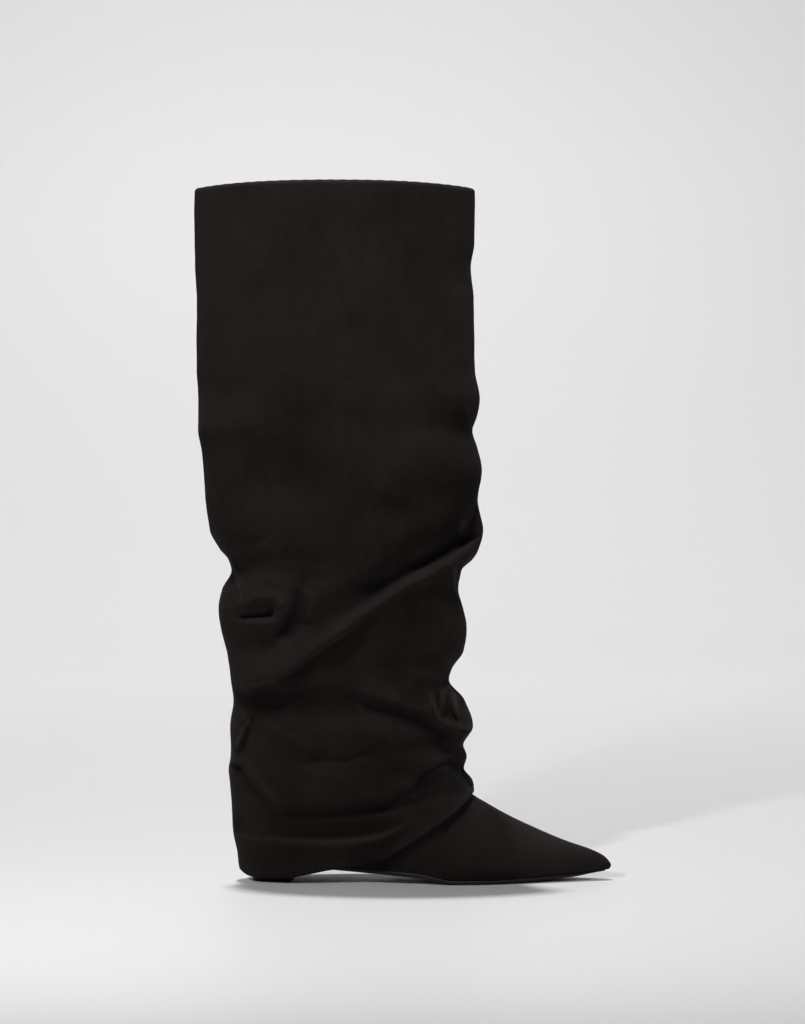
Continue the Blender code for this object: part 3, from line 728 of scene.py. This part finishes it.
paintedFoldShades = [  # laid like the folds: painted shade below nought, painted highlight above
    ([(-74, 216), (-76.4, 204), (-79, 193), (-88, 181)], (-2.0, -2.4), (6, 7), (6, 7), 2.0),
    ([(54, 75), (36, 75.4), (22, 74), (13, 72), (5, 68)], (-4.6, -4.2), (8, 7), (8, 6), 1.8),
    ([(46, 83), (36, 82), (27, 81), (18, 78.4), (6, 70)], (-2.4, -3.0), 2.6, 2.8, 2.0),
    ([(52, 70), (43.7, 69), (22, 66), (6.9, 61.4), (-8.2, 57.6), (-30, 54)], (-3.0, -1.6), 2.8, 2.2, 1.8),
    ([(37, 102), (41, 95), (43, 86)], 4.0, 6, 5, 2.0),
    ([(22, 95), (33, 99.6), (44, 104)], 3.2, 4, 4, 2.0),
    ([(-6, 137), (12, 136.4), (28, 135)], (-2.2, -2.4), 7, 7, 2.0),
    ([(-4, 152), (14, 152), (32, 151)], (1.4, 1.8), 6, 6, 2.0),
    ([(-82, 130), (-56, 129), (-26, 125)], -2.0, (9, 8), (9, 8), 2.0),
    ([(50, 244), (27.3, 233), (14.2, 227), (1.8, 221.6), (-11.6, 213.6), (-34, 198)],
     (-1.9, -1.5), 3, 3.4, 2.0),
    ([(-22, 204), (-38, 193.6), (-54, 183), (-68, 173.6), (-88, 161)], (0.4, 1.8), (3, 4), 3.6, 2.0),
    ([(-6, 234), (-30, 219), (-50, 206), (-68, 196), (-84, 190)], (-2.0, -2.6), (20, 14), (9, 8), 2.0),
    ([(46, 252), (28, 242), (14, 235), (0, 227.6), (-14, 219.6)], (-1.0, -1.4), 6, 2.6, 2.0),
    ([(52, 264), (30, 252), (12, 243), (-12, 231)], (-1.5, -1.1), 11, 8, 2.0),
    ([(-12, 188), (-34, 175), (-50, 165.6), (-72, 151)], (1.6, 2.2), 7, 9, 2.0),
    ([(-4, 195), (18, 194), (44, 196)], (-1.2, -1.5), 15, 14, 2.0),
    ([(33.2, 147), (30.6, 138), (29, 128)], 3.0, 1.5, 1.4, 2.0),
    ([(34, 147), (36.4, 137), (39, 126)], 3.0, 1.5, 1.4, 2.0),
    ([(-134, 19), (-90, 17), (-50, 20), (-22, 26), (6, 36)], (2.4, 3.0), (13, 8), (14, 9), 2.4),
    ([(21, 143), (22, 134), (24, 127), (29, 120.8), (38, 116.6), (50, 112.4)], (3.0, 3.4), 1.7, 1.5, 2.0),
    ([(-80, 74), (-48, 71), (-16, 71)], (1.4, 1.6), 9, 8, 2.0),
    ([(-140, 520), (-138, 430), (-136, 320)], (2.2, 1.8), (26, 22), (26, 22), 2.0),
    ([(44, 520), (42, 430), (40, 370)], (2.0, 1.6), 16, 16, 2.0),
]
innerFolds = [
    ([(60, 254), (25, 234), (-20, 216), (-70, 206), (-128, 203)], (9.6, 7.2), (6, 9), (15, 9), 1.5),
    ([(64, 270), (30, 248), (-15, 231), (-64, 222)], (-12.8, -4.8), (13, 10), 6, 1.8),
    ([(42, 216), (20, 201), (-20, 191), (-60, 189)], (-6.7, -3.8), (6, 8), 9, 1.8),
    ([(50, 186), (10, 172), (-40, 165), (-98, 170)], (6.7, 4.8), (9, 10), (8, 6), 1.6),
    ([(38, 150), (10, 141), (-35, 138), (-90, 142)], (-8.8, -4.2), (6, 8), (6, 9), 1.7),
    ([(34, 146), (29, 136), (27, 128)], 3.8, 2.6, 2.2, 1.2),
    ([(54, 118), (15, 112), (-35, 116), (-80, 124), (-125, 123)], (6.4, 4.8), (9, 8), (5, 4), 1.5),
    ([(48, 99.5), (15, 93), (-30, 97), (-75, 105), (-124, 101)], (-7.0, -4.2), (4, 5), 7, 1.7),
    ([(52, 88), (20, 80), (-25, 78), (-84, 84)], (4.5, 2.9), 6, 6, 1.7),
    ([(52, 71), (22, 64), (-16, 58), (-60, 57)], (-4.8, -3.2), (5, 6), (4, 5), 1.7),
    ([(8, 55), (-20, 43), (-60, 38.5), (-100, 40.5), (-122, 44)], (-3.2, -2.9), 6, 1.8, 1.4),
    ([(8, 51), (-20, 39.5), (-60, 35), (-100, 37), (-122, 40)], 2.4, 2, 9, 1.5),
    ([(-128, 190), (-112, 187), (-92, 189)], (-4.5, -3.6), 7, 5, 1.8),
    ([(-128, 236), (-118, 222), (-112, 208)], (3.2, 3.5), 2.4, 6, 1.3),
    ([(-127, 134), (-119, 124), (-112, 113)], 3.2, 2.4, (5, 4), 1.3),
    ([(-129, 90), (-112, 80), (-98, 62)], (3.5, 2.2), (3, 4), (5, 4), 1.3),
    ([(58, 282), (50, 268), (42, 258)], (2.6, 2.2), 2.4, 3.4, 1.3),
    ([(48, 344), (47, 334), (54, 322)], 2.2, 3, 2.4, 1.3),
    ([(-120, 330), (-70, 318), (-20, 324)], (-2.1, -1.6), 16, 16, 2.0),
    ([(-20, 300), (10, 280), (30, 268)], (2.2, 1.9), 14, 12, 2.0),
    ([(-130, 270), (-90, 258), (-50, 248)], (2.1, 1.9), 14, 12, 2.0),
]


def foldPath(points, perSpan=7):
    # the path's points joined by one smooth line
    knots = np.array(points, float)
    spans = np.arange(len(knots))
    fine = np.linspace(0, len(knots) - 1, (len(knots) - 1) * perSpan + 1)
    xs = curveThrough(np.column_stack((spans, knots[:, 0])), 1)(fine)
    zs = curveThrough(np.column_stack((spans, knots[:, 1])), 1)(fine)
    return np.column_stack((xs, zs))


def bothEnds(value):
    return value if isinstance(value, tuple) else (value, value)


def foldRise(folds, x, z):
    total = np.zeros_like(x)
    for points, *ends, softness in folds:
        rise, above, below = map(bothEnds, ends)
        path = foldPath(points)
        if path[0, 0] > path[-1, 0]:
            path, rise, above, below = path[::-1], rise[::-1], above[::-1], below[::-1]
        reach = shaft["foldCutoff"] * max(above + below)
        near = ((x > path[:, 0].min() - reach) & (x < path[:, 0].max() + reach)
                & (z > path[:, 1].min() - reach) & (z < path[:, 1].max() + reach))
        px, pz = x[near], z[near]
        steps = np.diff(path, axis=0)
        lengths = np.hypot(steps[:, 0], steps[:, 1])
        starts = runOf(lengths)
        best = np.full(px.shape, 1e9)
        along, across = np.zeros_like(px), np.zeros_like(px)
        for (x0, z0), (dx, dz), length, start in zip(path, steps, lengths, starts):
            t = np.clip(((px - x0) * dx + (pz - z0) * dz) / length ** 2, 0.0, 1.0)
            away = np.hypot(px - x0 - t * dx, pz - z0 - t * dz)
            closer = away < best
            side = np.sign((pz - z0) * dx - (px - x0) * dz)
            best = np.where(closer, away, best)
            along = np.where(closer, (start + t * length) / starts[-1], along)
            across = np.where(closer, side * away, across)
        upper = above[0] + (above[1] - above[0]) * along
        lower = below[0] + (below[1] - below[0]) * along
        width = np.where(across > 0, upper, lower)
        height = rise[0] + (rise[1] - rise[0]) * along
        fade = easeStep(0.0, shaft["foldEndFade"], along) * easeStep(0.0, shaft["foldEndFade"], 1.0 - along)
        total[near] += height * fade * np.exp(-np.abs(across / width) ** softness)
    return total


def upperHalfWidth(x, z, side, back, front):
    # the foot below, turning into the leg above
    footY = footHalfWidth(x, z, side, back, front)
    across = np.clip((2 * x - back - front) / (front - back), -1.0, 1.0)
    legY = legHalfWidth(z) * (1.0 - across ** 2) ** (1.0 / shaftRound(z))
    leg = easeStep(*upperSize["legBlend"], z)
    return footY * (1 - leg) + legY * leg


def clearOfFoot(x, z, side):
    # least half-width at which the shaft still hangs outside the foot
    grown = shaft["wall"] + shaft["footClearance"]
    low = featherHeight(x)
    beside = soleHalfWidth(x, side, last["soleInset"]) + grown
    backX = x - grown * easeStep(*shaft["clearanceRun"], x)
    lowered = np.maximum(z - grown, low)
    back, front = upperBack(lowered), upperFront(lowered)
    inside = (backX > back) & (backX < front)
    width = upperHalfWidth(np.clip(backX, back, front), lowered, side, back, front)
    over = np.where(inside, width + grown * easeStep(*shaft["clearanceEdge"], width), 0.0)
    return np.where(z < low, beside, over)


def topLine(angle):
    dip, sharpness = shaft["topDip"]
    return shaft["height"] - dip * np.abs(np.cos(angle)) ** sharpness


def shaftSheet(angles, shares):
    # outside of the shaft, one row for each share of the way from hem to top line
    angle = np.broadcast_to(angles, (len(shares), len(angles)))
    hemX = spanAt(shaft["hem"][0][0], shaft["hem"][-1][0], np.cos(angle))
    hemZ = hemHeight(hemX)
    top = topLine(angle) - shaft["rollHeight"]
    z = hemZ + shares[:, None] * (top - hemZ)
    back, front = shaftBack(z), shaftFront(z)
    hemAlong = (hemX - shaftBack(hemZ)) / (shaftFront(hemZ) - shaftBack(hemZ))
    evenAlong = (1.0 + np.cos(angle)) / 2
    along = hemAlong + (evenAlong - hemAlong) * easeStep(0.0, shaft["hemEase"], z - hemZ)
    turn = np.arccos(np.clip(2.0 * along - 1.0, -1.0, 1.0))
    side = np.where(np.sin(angle) >= 0, 1.0, -1.0)
    x = spanAt(back, front, np.cos(turn))
    plain = shaftHalfWidth(z) * np.abs(np.sin(turn)) ** (2.0 / shaftRound(z))
    onSide = easeStep(0.0, shaft["foldSideFade"], np.abs(np.sin(turn)))
    rise = np.where(side < 0, foldRise(outerFolds, x, z), foldRise(innerFolds, x, z)) * onSide
    y = np.maximum(plain + rise, shaft["foldLeast"] * plain)
    least = clearOfFoot(x, z, side)
    ease = shaft["footEase"] * easeStep(*shaft["footEaseRun"], plain)
    y = (y + least + np.hypot(y - least, ease)) / 2
    sag = shaft["foldSag"] * np.maximum(rise, 0.0) * easeStep(*shaft["foldSagRun"], z - hemZ)
    return np.stack((x, side * y, z - sag), axis=2)


def shaftRelief(points, shares):
    # seams, turned hem and the small unevenness of the cloth, along the outward direction
    x, y, z = points[..., 0], points[..., 1], points[..., 2]
    fromSeam = np.minimum(np.hypot(x - shaftFront(z), y), np.hypot(x - shaftBack(z), y))
    aboveHem = easeStep(*shaft["reliefStart"], shares * shaft["height"])[:, None]
    depth, reach = shaft["seamGroove"]
    height, place, spread = shaft["seamWelt"]
    seam = -depth * np.exp(-(fromSeam / reach) ** 2) + height * np.exp(-((fromSeam - place) / spread) ** 2)
    lift = shares[:, None] * shaft["height"]
    turned, turnLow, turnHigh = shaft["hemTurn"]
    rounded, roundTop = shaft["hemEdge"]
    hem = turned * (1.0 - easeStep(turnLow, turnHigh, lift))
    hem = hem - rounded * (1.0 - easeStep(0.0, roundTop, lift)) ** 2
    sunk, sunkReach = shaft["stitchGroove"]
    for line in shaft["hemStitchLines"]:
        hem = hem - sunk * np.exp(-((lift - line) / sunkReach) ** 2)
    cloth = sum(amount * roughen(points, size, seed) for amount, size, seed in shaft["clothWaves"])
    return seam * aboveHem + hem + cloth * aboveHem


def laidOut(points, amount):
    return points + gridNormals(points) * amount[..., None]


def shaftAngles(*counts):
    # columns of the inner and the outer half, spread partly by length and partly by angle
    halves = []
    halfLength, halfWidth, fullness = shaft["columnOval"]
    for start, count in zip((0.0, math.pi), counts):
        fine = np.linspace(start, start + math.pi, shaft["columnSamples"])
        x, y = halfLength * np.cos(fine), halfWidth * np.abs(np.sin(fine)) ** fullness
        length = runOf(np.hypot(np.diff(x), np.diff(y)))
        even = np.interp(np.linspace(0.0, length[-1], count + 1), length, fine)
        plain = np.linspace(start, start + math.pi, count + 1)
        halves.append(even * shaft["columnsEvened"] + plain * (1.0 - shaft["columnsEvened"]))
    return np.concatenate((halves[0], halves[1][1:]))


def shaftShares():
    # rows from the hem: close at the stitches, fine over the folds, wider above
    rise = shaft["height"] - shaft["rowsBelowTop"]
    start, belowTop, count = shaft["plainRows"]
    plain = np.linspace(start, rise - belowTop, count)
    close = rise - np.array(shaft["topRows"])
    return np.concatenate((shaft["hemRows"], np.linspace(*shaft["foldRows"]), plain, close)) / rise


def topRoll(outer, angles):
    # the edge rolled over at the top line and running down inside as a facing
    z = outer[-1, :, 2]
    side, end = shaft["rollInset"]
    innerX = spanAt(shaftBack(z) + end, shaftFront(z) - end, np.cos(angles))
    width = shaftHalfWidth(z) - side
    innerY = np.sign(np.sin(angles)) * width * np.abs(np.sin(angles)) ** (2.0 / shaftRound(z))
    inner = np.stack((innerX, innerY, z), axis=1)
    size, period = shaft["scallop"]
    girth = runOf(np.hypot(*np.diff(outer[-1, :, :2], axis=0).T))
    wave = size * np.sin(2 * math.pi * girth / (girth[-1] / round(girth[-1] / period)))
    rows = []
    for step in range(1, shaft["rollSteps"] + 1):
        turn = math.pi * step / shaft["rollSteps"]
        row = spanAt(inner, outer[-1], math.cos(turn))
        row[:, 2] = z + (shaft["rollHeight"] + wave) * math.sin(turn)
        rows.append(row)
    for drop in shaft["facingRows"]:
        row = inner.copy()
        row[:, 2] = z - drop
        rows.append(row)
    return np.array(rows)


def innerSide(outside, facingZ):
    # back of the cloth in wide rows, kept inside every trough, from the facing down to the hem
    middle = np.stack(((shaftBack(outside[..., 2]) + shaftFront(outside[..., 2])) / 2,
                       np.zeros(outside.shape[:2])), axis=2)
    spoke = outside[..., :2] - middle
    reach = np.linalg.norm(spoke, axis=2)
    hemRows, (start, leftOut, step) = shaft["backRows"]
    rowWindow, columnWindow = shaft["backWindow"]
    room, belowFacing = shaft["backRoom"]
    sheet = []
    for row in [*hemRows, *range(start, len(outside) - leftOut, step)][::-1]:
        if outside[row, :, 2].max() > facingZ - belowFacing:
            continue
        atHem = row <= hemRows[-1]
        window = 1 if atHem else rowWindow
        near = reach[max(row - window, 0):row + window + 1].min(axis=0)
        lowest = near.copy()
        for shift in range(-columnWindow, columnWindow + 1):
            lowest = np.minimum(lowest, np.roll(near[:-1], shift)[np.arange(len(near)) % (len(near) - 1)])
        least = near if atHem else lowest - room
        share = (least - shaft["wall"]) / reach[row]
        place = middle[row] + spoke[row] * share[:, None]
        sheet.append(np.column_stack((place, outside[row, :, 2])))
    return np.array(sheet)


def makeShaft():
    angles = shaftAngles(*shaft["columns"])
    shares = shaftShares()
    plain = shaftSheet(angles, shares)
    outside = laidOut(plain, shaftRelief(plain, shares))
    roll = topRoll(outside, angles)
    inside = innerSide(outside, roll[-1, :, 2].min())
    sheet = np.concatenate((outside, roll, inside, outside[:1]))
    # painted shading: cloth standing out of its smoothed self is painted lighter as a painted highlight on
    # crests, cloth sunk below it is painted darker as painted shade in tucks, and the painted fold shades
    # are added on the outer side
    smooth = softened(softened(plain, shaft["paintedShadingReach"]), shaft["paintedShadingReach"])
    paintedShading = np.zeros(sheet.shape[:2])
    folded = 1.0 - easeStep(*shaft["paintedShadingHeights"], plain[..., 2])
    paintedShading[:len(plain)] = ((plain - smooth) * gridNormals(smooth)).sum(axis=2) * folded
    paintedShading[:len(plain)] += foldRise(paintedFoldShades, plain[..., 0], plain[..., 2]) * (plain[..., 1] < 0)
    piece = sheetFromGrid("shaftSuede", sheet, paintedShading=paintedShading)
    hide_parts("foldover_shaft")
    dress(piece, "suede", suede)


makeShaft()


# The foot and the inner leg

def legLift():
    # how far the level rows of the leg lie above their own numbers
    return upperSize["levelShare"] * float(featherHeight(last["heelBack"]))


def levelHeight(x, level):
    fade = 1.0 - easeStep(0.0, upperSize["levelFade"], level)
    return level + featherHeight(x) * fade + legLift() * (1.0 - fade)


def upperSheet(angles, levels):
    back = np.full(len(levels), last["heelBack"])
    front = back + last["footLength"]
    for _ in range(upperSize["levelPasses"]):
        back, front = upperBack(levelHeight(back, levels)), upperFront(levelHeight(front, levels))
    level, back, front = levels[:, None], back[:, None], front[:, None]
    angle = np.broadcast_to(angles, (len(levels), len(angles)))
    side = np.where(np.sin(angle) >= 0, 1.0, -1.0)
    x = spanAt(back, front, np.cos(angle))
    z = levelHeight(x, level)
    y = upperHalfWidth(x, z, side, back, front)
    y[:, [0, -1]] = 0.0  # both edges meet on the front line
    inset, endInset = upperSize["legInset"]
    hug = easeStep(*upperSize["legHug"], z)
    hugX = spanAt(shaftBack(z) + endInset, shaftFront(z) - endInset, np.cos(angle))
    hugY = (shaftHalfWidth(z) - inset) * np.abs(np.sin(angle)) ** (2.0 / shaftRound(z))
    return np.stack((x + (hugX - x) * hug, side * (y + (hugY - y) * hug), z), axis=2)


def upperLevels():
    footTop, footCount, crowding = upperSize["footRows"]
    legStart, legCount = upperSize["legRows"]
    foot = footTop * np.linspace(0.0, 1.0, footCount) ** crowding
    leg = np.linspace(legStart, upperSize["legTop"] - legLift(), legCount)
    return np.concatenate((foot, leg))


def makeUpper():
    plain = np.linspace(0.0, 2 * math.pi, upperSize["columns"] + 1)
    angles = plain - upperSize["columnCrowding"] * np.sin(2 * plain)
    sheet = upperSheet(angles, upperLevels())
    depth, size, seed = upperSize["wobble"]
    height = easeStep(*upperSize["wobbleStart"], sheet[..., 2] - featherHeight(sheet[..., 0]))
    sheet = laidOut(sheet, depth * roughen(sheet, size, seed) * height)
    piece = sheetFromGrid("upperSuede", sheet)
    applyModifier(piece, "SOLIDIFY", thickness=upperSize["wall"] * mm, offset=-1.0, material_offset=1)
    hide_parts("upper")
    dress(piece, "suede", suede, lining)


makeUpper()


# Sole, heel and insole

soleSize = {
    "stations": 150,
    "edge": 0.9,
    "edgeSteps": 4,
    "edgeLimit": 2.2,  # a rounded edge takes at most the thickness over this
    "faceColumns": 7,
    "smoothAngle": 50.0,
    "toeSkive": 2.2,
    "toeSkiveRun": (122.0, 150.0),
    "insoleInset": 5.2,
    "insoleThickness": 2.6,
}


def slabSheet(inset, low, high, edge):
    # closed cross-sections along the foot, edges rounded, from heel to toe
    xs = spanAt(*soleEnds(inset), -np.cos(np.linspace(0.0, math.pi, soleSize["stations"])))
    lateral, medial = soleHalfWidth(xs, -1.0, inset), soleHalfWidth(xs, 1.0, inset)
    bottom, top = low(xs), high(xs)
    steps = soleSize["edgeSteps"]
    rows = []
    for x, left, right, lowZ, highZ in zip(xs, lateral, medial, bottom, top):
        r = min(edge, left / 2, right / 2, (highZ - lowZ) / soleSize["edgeLimit"])
        ring = []
        for cy, cz, start in ((right - r, lowZ + r, -90), (right - r, highZ - r, 0),
                              (-left + r, highZ - r, 90), (-left + r, lowZ + r, 180)):
            for step in range(steps):
                a = math.radians(start + 90 / (steps - 1) * step)
                ring.append((x, cy + r * math.cos(a), cz + r * math.sin(a)))
        full = []
        for corner in range(4):
            full += ring[steps * corner:steps * (corner + 1)]
            a, b = np.array(full[-1]), np.array(ring[steps * (corner + 1) % len(ring)])
            between = soleSize["faceColumns"] if corner in (1, 3) else 1  # top and bottom, or a side
            for i in range(1, between + 1):
                full.append(tuple(a + (b - a) * i / (between + 1)))
        full.append(full[0])
        rows.append(full)
    return np.array(rows)


def makeSlab(name, sheet, node, slotName, material):
    piece = sheetFromGrid(name, sheet)
    bpy.ops.object.mode_set(mode="EDIT")
    bpy.ops.mesh.select_all(action="DESELECT")
    bpy.ops.mesh.select_non_manifold()
    bpy.ops.mesh.fill()
    bpy.ops.object.mode_set(mode="OBJECT")
    finishFaces(soleSize["smoothAngle"])
    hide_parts(node)
    dress(piece, slotName, material)


def soleBottom(x):
    return soleUnder(x) + soleSize["toeSkive"] * easeStep(*soleSize["toeSkiveRun"], x)


def soleTop(x):
    return soleUnder(x) + last["soleThickness"]


def insoleTop(x):
    return featherHeight(x) + soleSize["insoleThickness"]


def makeSole():
    edge = soleSize["edge"]
    sole = slabSheet(last["soleInset"], soleBottom, soleTop, edge)
    makeSlab("outsoleRubber", sole, "outsole", "sole", rubber)
    sock = slabSheet(soleSize["insoleInset"], featherHeight, insoleTop, edge)
    makeSlab("insoleSock", sock, "insole", "lining", lining)


makeSole()

heelSize = {
    "inset": 6.0,
    "breast": -70.0,
    "centre": -105.8,
    "footShare": (0.64, 0.63),
    "points": 26,
    "rings": (  # height over the floor, drawn in; the groove above the top piece comes last
        (0.0, 0.9), (0.5, 0.2), (1.0, 0.0), (5.0, 0.0), (5.25, 0.5), (5.7, 0.5), (5.95, 0.0)),
    "smoothAngle": 40.0,
}


def heelSeat():
    inset = heelSize["inset"]
    turn = np.linspace(0.0, math.pi / 2, heelSize["points"])
    xs = heelSize["breast"] + (last["heelBack"] + inset - heelSize["breast"]) * np.sin(turn)
    medial = list(zip(xs, soleHalfWidth(xs, 1.0, inset)))
    lateral = [(x, -y) for x, y in zip(xs[::-1], soleHalfWidth(xs[::-1], -1.0, inset))]
    return np.array(medial + lateral)


def makeHeel():
    # a filled circle laid on the heel's outline, then drawn up ring by ring
    top = heelSeat()
    foot = (top - [heelSize["centre"], 0.0]) * heelSize["footShare"] + [heelSize["centre"], 0.0]
    seat = soleUnder(top[:, 0]) - last["gap"]
    bpy.ops.object.select_all(action="DESELECT")
    bpy.ops.mesh.primitive_circle_add(vertices=len(foot), radius=1.0, fill_type="NGON")
    piece = bpy.context.object
    piece.name = piece.data.name = "heelBlock"

    def ringAt(share, tucked):
        place = foot + (top - foot) * share[:, None]
        return place - unit(place - [np.mean(foot[:, 0]), 0.0]) * tucked

    order = [v.index for v in piece.data.vertices]
    levels = [np.full(len(foot), z) for z, _ in heelSize["rings"]] + [seat]
    tucks = [t for _, t in heelSize["rings"]] + [0.0]
    for k, (z, tucked) in enumerate(zip(levels, tucks)):
        if k:
            bpy.ops.object.mode_set(mode="EDIT")
            bpy.ops.mesh.select_mode(type="FACE")
            bpy.ops.mesh.extrude_region_move()
            bpy.ops.object.mode_set(mode="OBJECT")
        flat = ringAt(z / seat, tucked)
        chosen = [v.index for v in piece.data.vertices if v.select] if k else order
        for i, index in enumerate(chosen):
            piece.data.vertices[index].co = (flat[i, 0] * mm, flat[i, 1] * mm, z[i] * mm)
    finishFaces(heelSize["smoothAngle"])
    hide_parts("heel")
    dress(piece, "sole", rubber)


makeHeel()


# Stitches

stitchSize = {
    "pitch": 2.9,
    "length": 2.1,
    "radius": 0.27,
    "sunk": 0.06,
    "bead": (6, 4),
    "columns": (600, 600),
    "reach": 0.5,
}


def oneStitch():
    # a round bead drawn out to a stitch, used as the pattern for every copy
    bpy.ops.object.select_all(action="DESELECT")
    segments, rings = stitchSize["bead"]
    bpy.ops.mesh.primitive_uv_sphere_add(segments=segments, ring_count=rings, radius=1.0)
    bead = bpy.context.object
    bpy.ops.object.mode_set(mode="EDIT")
    bpy.ops.mesh.select_all(action="SELECT")
    bpy.ops.transform.rotate(value=math.pi / 2, orient_axis="Y", center_override=(0, 0, 0))
    half = stitchSize["length"] / 2
    bpy.ops.transform.resize(value=(half, stitchSize["radius"], stitchSize["radius"]))
    bpy.ops.object.mode_set(mode="OBJECT")
    corners = np.array([v.co for v in bead.data.vertices])
    faces = [list(p.vertices) for p in bead.data.polygons]
    bpy.data.objects.remove(bead)
    return corners, faces


def sewnRow(name, places, tangents, normals):
    corners, faces = oneStitch()
    points, polygons = [], []
    for place, along, out in zip(places, tangents, normals):
        across = np.cross(out, along)
        base = len(points)
        for cx, cy, cz in corners:
            points.append(place + along * cx + across * cy + out * (cz - stitchSize["sunk"]))
        polygons += [[base + i for i in face] for face in faces]
    mesh = bpy.data.meshes.new(name)
    mesh.from_pydata((np.array(points) * mm).tolist(), [], polygons)
    mesh.shade_smooth()
    piece = bpy.data.objects.new(name, mesh)
    bpy.context.scene.collection.objects.link(piece)
    return piece


def evenly(line, pitch):
    # places along a line at one pitch, as fractional row numbers of the line's points
    lengths = runOf(np.linalg.norm(np.diff(line, axis=0), axis=1))
    count = int(round(lengths[-1] / pitch))
    return np.interp((np.arange(count) + 0.5) * lengths[-1] / count, lengths, np.arange(len(line)))


def sampled(line, at):
    rows = np.arange(len(line))
    return np.stack([np.interp(at, rows, line[:, k]) for k in range(3)], axis=1)


def makeHemStitches():
    angles = shaftAngles(*stitchSize["columns"])
    rise = shaft["height"] - shaft["rowsBelowTop"]
    pieces = []
    for line in shaft["hemStitchLines"]:
        shares = np.array([line - stitchSize["reach"], line, line + stitchSize["reach"]]) / rise
        plain = shaftSheet(angles, shares)
        sheet = laidOut(plain, shaftRelief(plain, shares))
        normal = gridNormals(sheet)[1]
        along = unit(np.gradient(sheet[1], axis=0))
        at = evenly(sheet[1], stitchSize["pitch"])
        pieces.append((sampled(sheet[1], at), unit(sampled(along, at)), sampled(normal, at)))
    joined = [np.concatenate(column) for column in zip(*pieces)]
    dress(sewnRow("hemStitches", *joined), "suede", thread)


makeHemStitches()


# Floor, lights and camera

studio = {
    "floorColour": (0.82, 0.82, 0.82),
    "floorRoughness": 0.55,
    "floorTint": 0.985,
    "patchScale": 0.8,
    "fleckScale": 90.0,
    "floorFront": -0.8,
    "floorBack": 3.6,
    "sweepRadius": 1.6,
    "sweepSteps": 16,
    "sweepColumns": 5,
    "wallTop": 4.5,
    "halfWidth": 5.0,
    "worldColour": (1.0, 1.0, 1.0),
    "worldStrength": 0.1,
    "cameraPlace": (0.0, -2.5, 0.272),
    "cameraLens": (118.8, 36.0),  # focal length and sensor, millimetres
    "lights": [  # name, what it lights, place, aim, size, power, spread: metres, watts, degrees
        ("frontTopBox", "boot", (-0.08, -0.46, 1.36), (0.0, 0.0, 0.35), (0.3, 0.3), 15.0, 180),
        ("overheadBox", "all", (-0.60, 0.80, 6.0), (0.1, 0.0, 0.0), (0.3, 0.3), 244.0, 180),
        ("frontLeftBox", "studio", (-0.50, -1.30, 0.66), (0.6, 2.1, 0.26), (0.07, 0.07), 4.2, 84),
        ("backdropBox", "studio", (-0.4, 2.9, 3.4), (0.1, 4.9, 0.2), (2.8, 0.8), 27.0, 140)],
}


def makeFloor():
    # floor and backdrop as one sweep, drawn out from a plane
    turn = np.linspace(0.0, math.pi / 2, studio["sweepSteps"])
    radius = studio["sweepRadius"]
    ys = np.concatenate(([studio["floorFront"], 0.0], studio["floorBack"] + radius * np.sin(turn),
                         [studio["floorBack"] + radius]))
    zs = np.concatenate(([0.0, 0.0], radius - radius * np.cos(turn), [studio["wallTop"]]))
    xs = np.linspace(-studio["halfWidth"], studio["halfWidth"], studio["sweepColumns"])
    points = np.array([[(x, y, z) for x in xs] for y, z in zip(ys, zs)]) / mm
    piece = sheetFromGrid("studioSweep", points, closed=False)
    material, tree, shader, place = newMaterial("paleFloor", studio["floorRoughness"])
    clouds = cloudsOn(tree, place, studio)
    tint = tuple(c * studio["floorTint"] for c in studio["floorColour"])
    feed(tree, shader, Base_Color=mixColour(tree, clouds, studio["floorColour"], tint))
    piece.data.materials.append(material)


def addLight(name, lit, place, aim, size, power, spread):
    bpy.ops.object.light_add(type="AREA", location=place)
    lamp = bpy.context.object
    lamp.name = name
    lamp.data.shape = "RECTANGLE"
    lamp.data.size, lamp.data.size_y = size
    lamp.data.energy = power
    lamp.data.spread = math.radians(spread)
    lamp.rotation_euler = (Vector(aim) - Vector(place)).to_track_quat("-Z", "Y").to_euler()
    if lit == "all":
        return
    shone = bpy.data.collections.new(name + "Lit")  # the rest is flagged off from this lamp
    for piece in bpy.context.scene.objects:
        if piece.type == "MESH" and (piece.name == "studioSweep") == (lit == "studio"):
            shone.objects.link(piece)
    lamp.light_linking.receiver_collection = shone


def makeStudio():
    makeFloor()
    world = bpy.context.scene.world or bpy.data.worlds.new("studioWorld")
    bpy.context.scene.world = world
    world.use_nodes = True
    sky = world.node_tree.nodes["Background"]
    sky.inputs["Color"].default_value = (*studio["worldColour"], 1.0)
    sky.inputs["Strength"].default_value = studio["worldStrength"]
    for light in studio["lights"]:
        addLight(*light)
    camera = bpy.data.cameras.new("photoCamera")
    camera.lens, camera.sensor_width = studio["cameraLens"]
    holder = bpy.data.objects.new("photoCamera", camera)
    holder.location = studio["cameraPlace"]
    holder.rotation_euler = (math.pi / 2, 0.0, 0.0)
    bpy.context.scene.collection.objects.link(holder)
    bpy.context.scene.camera = holder
    bpy.context.scene.view_settings.view_transform = "Standard"
    print("studio ready")


makeStudio()
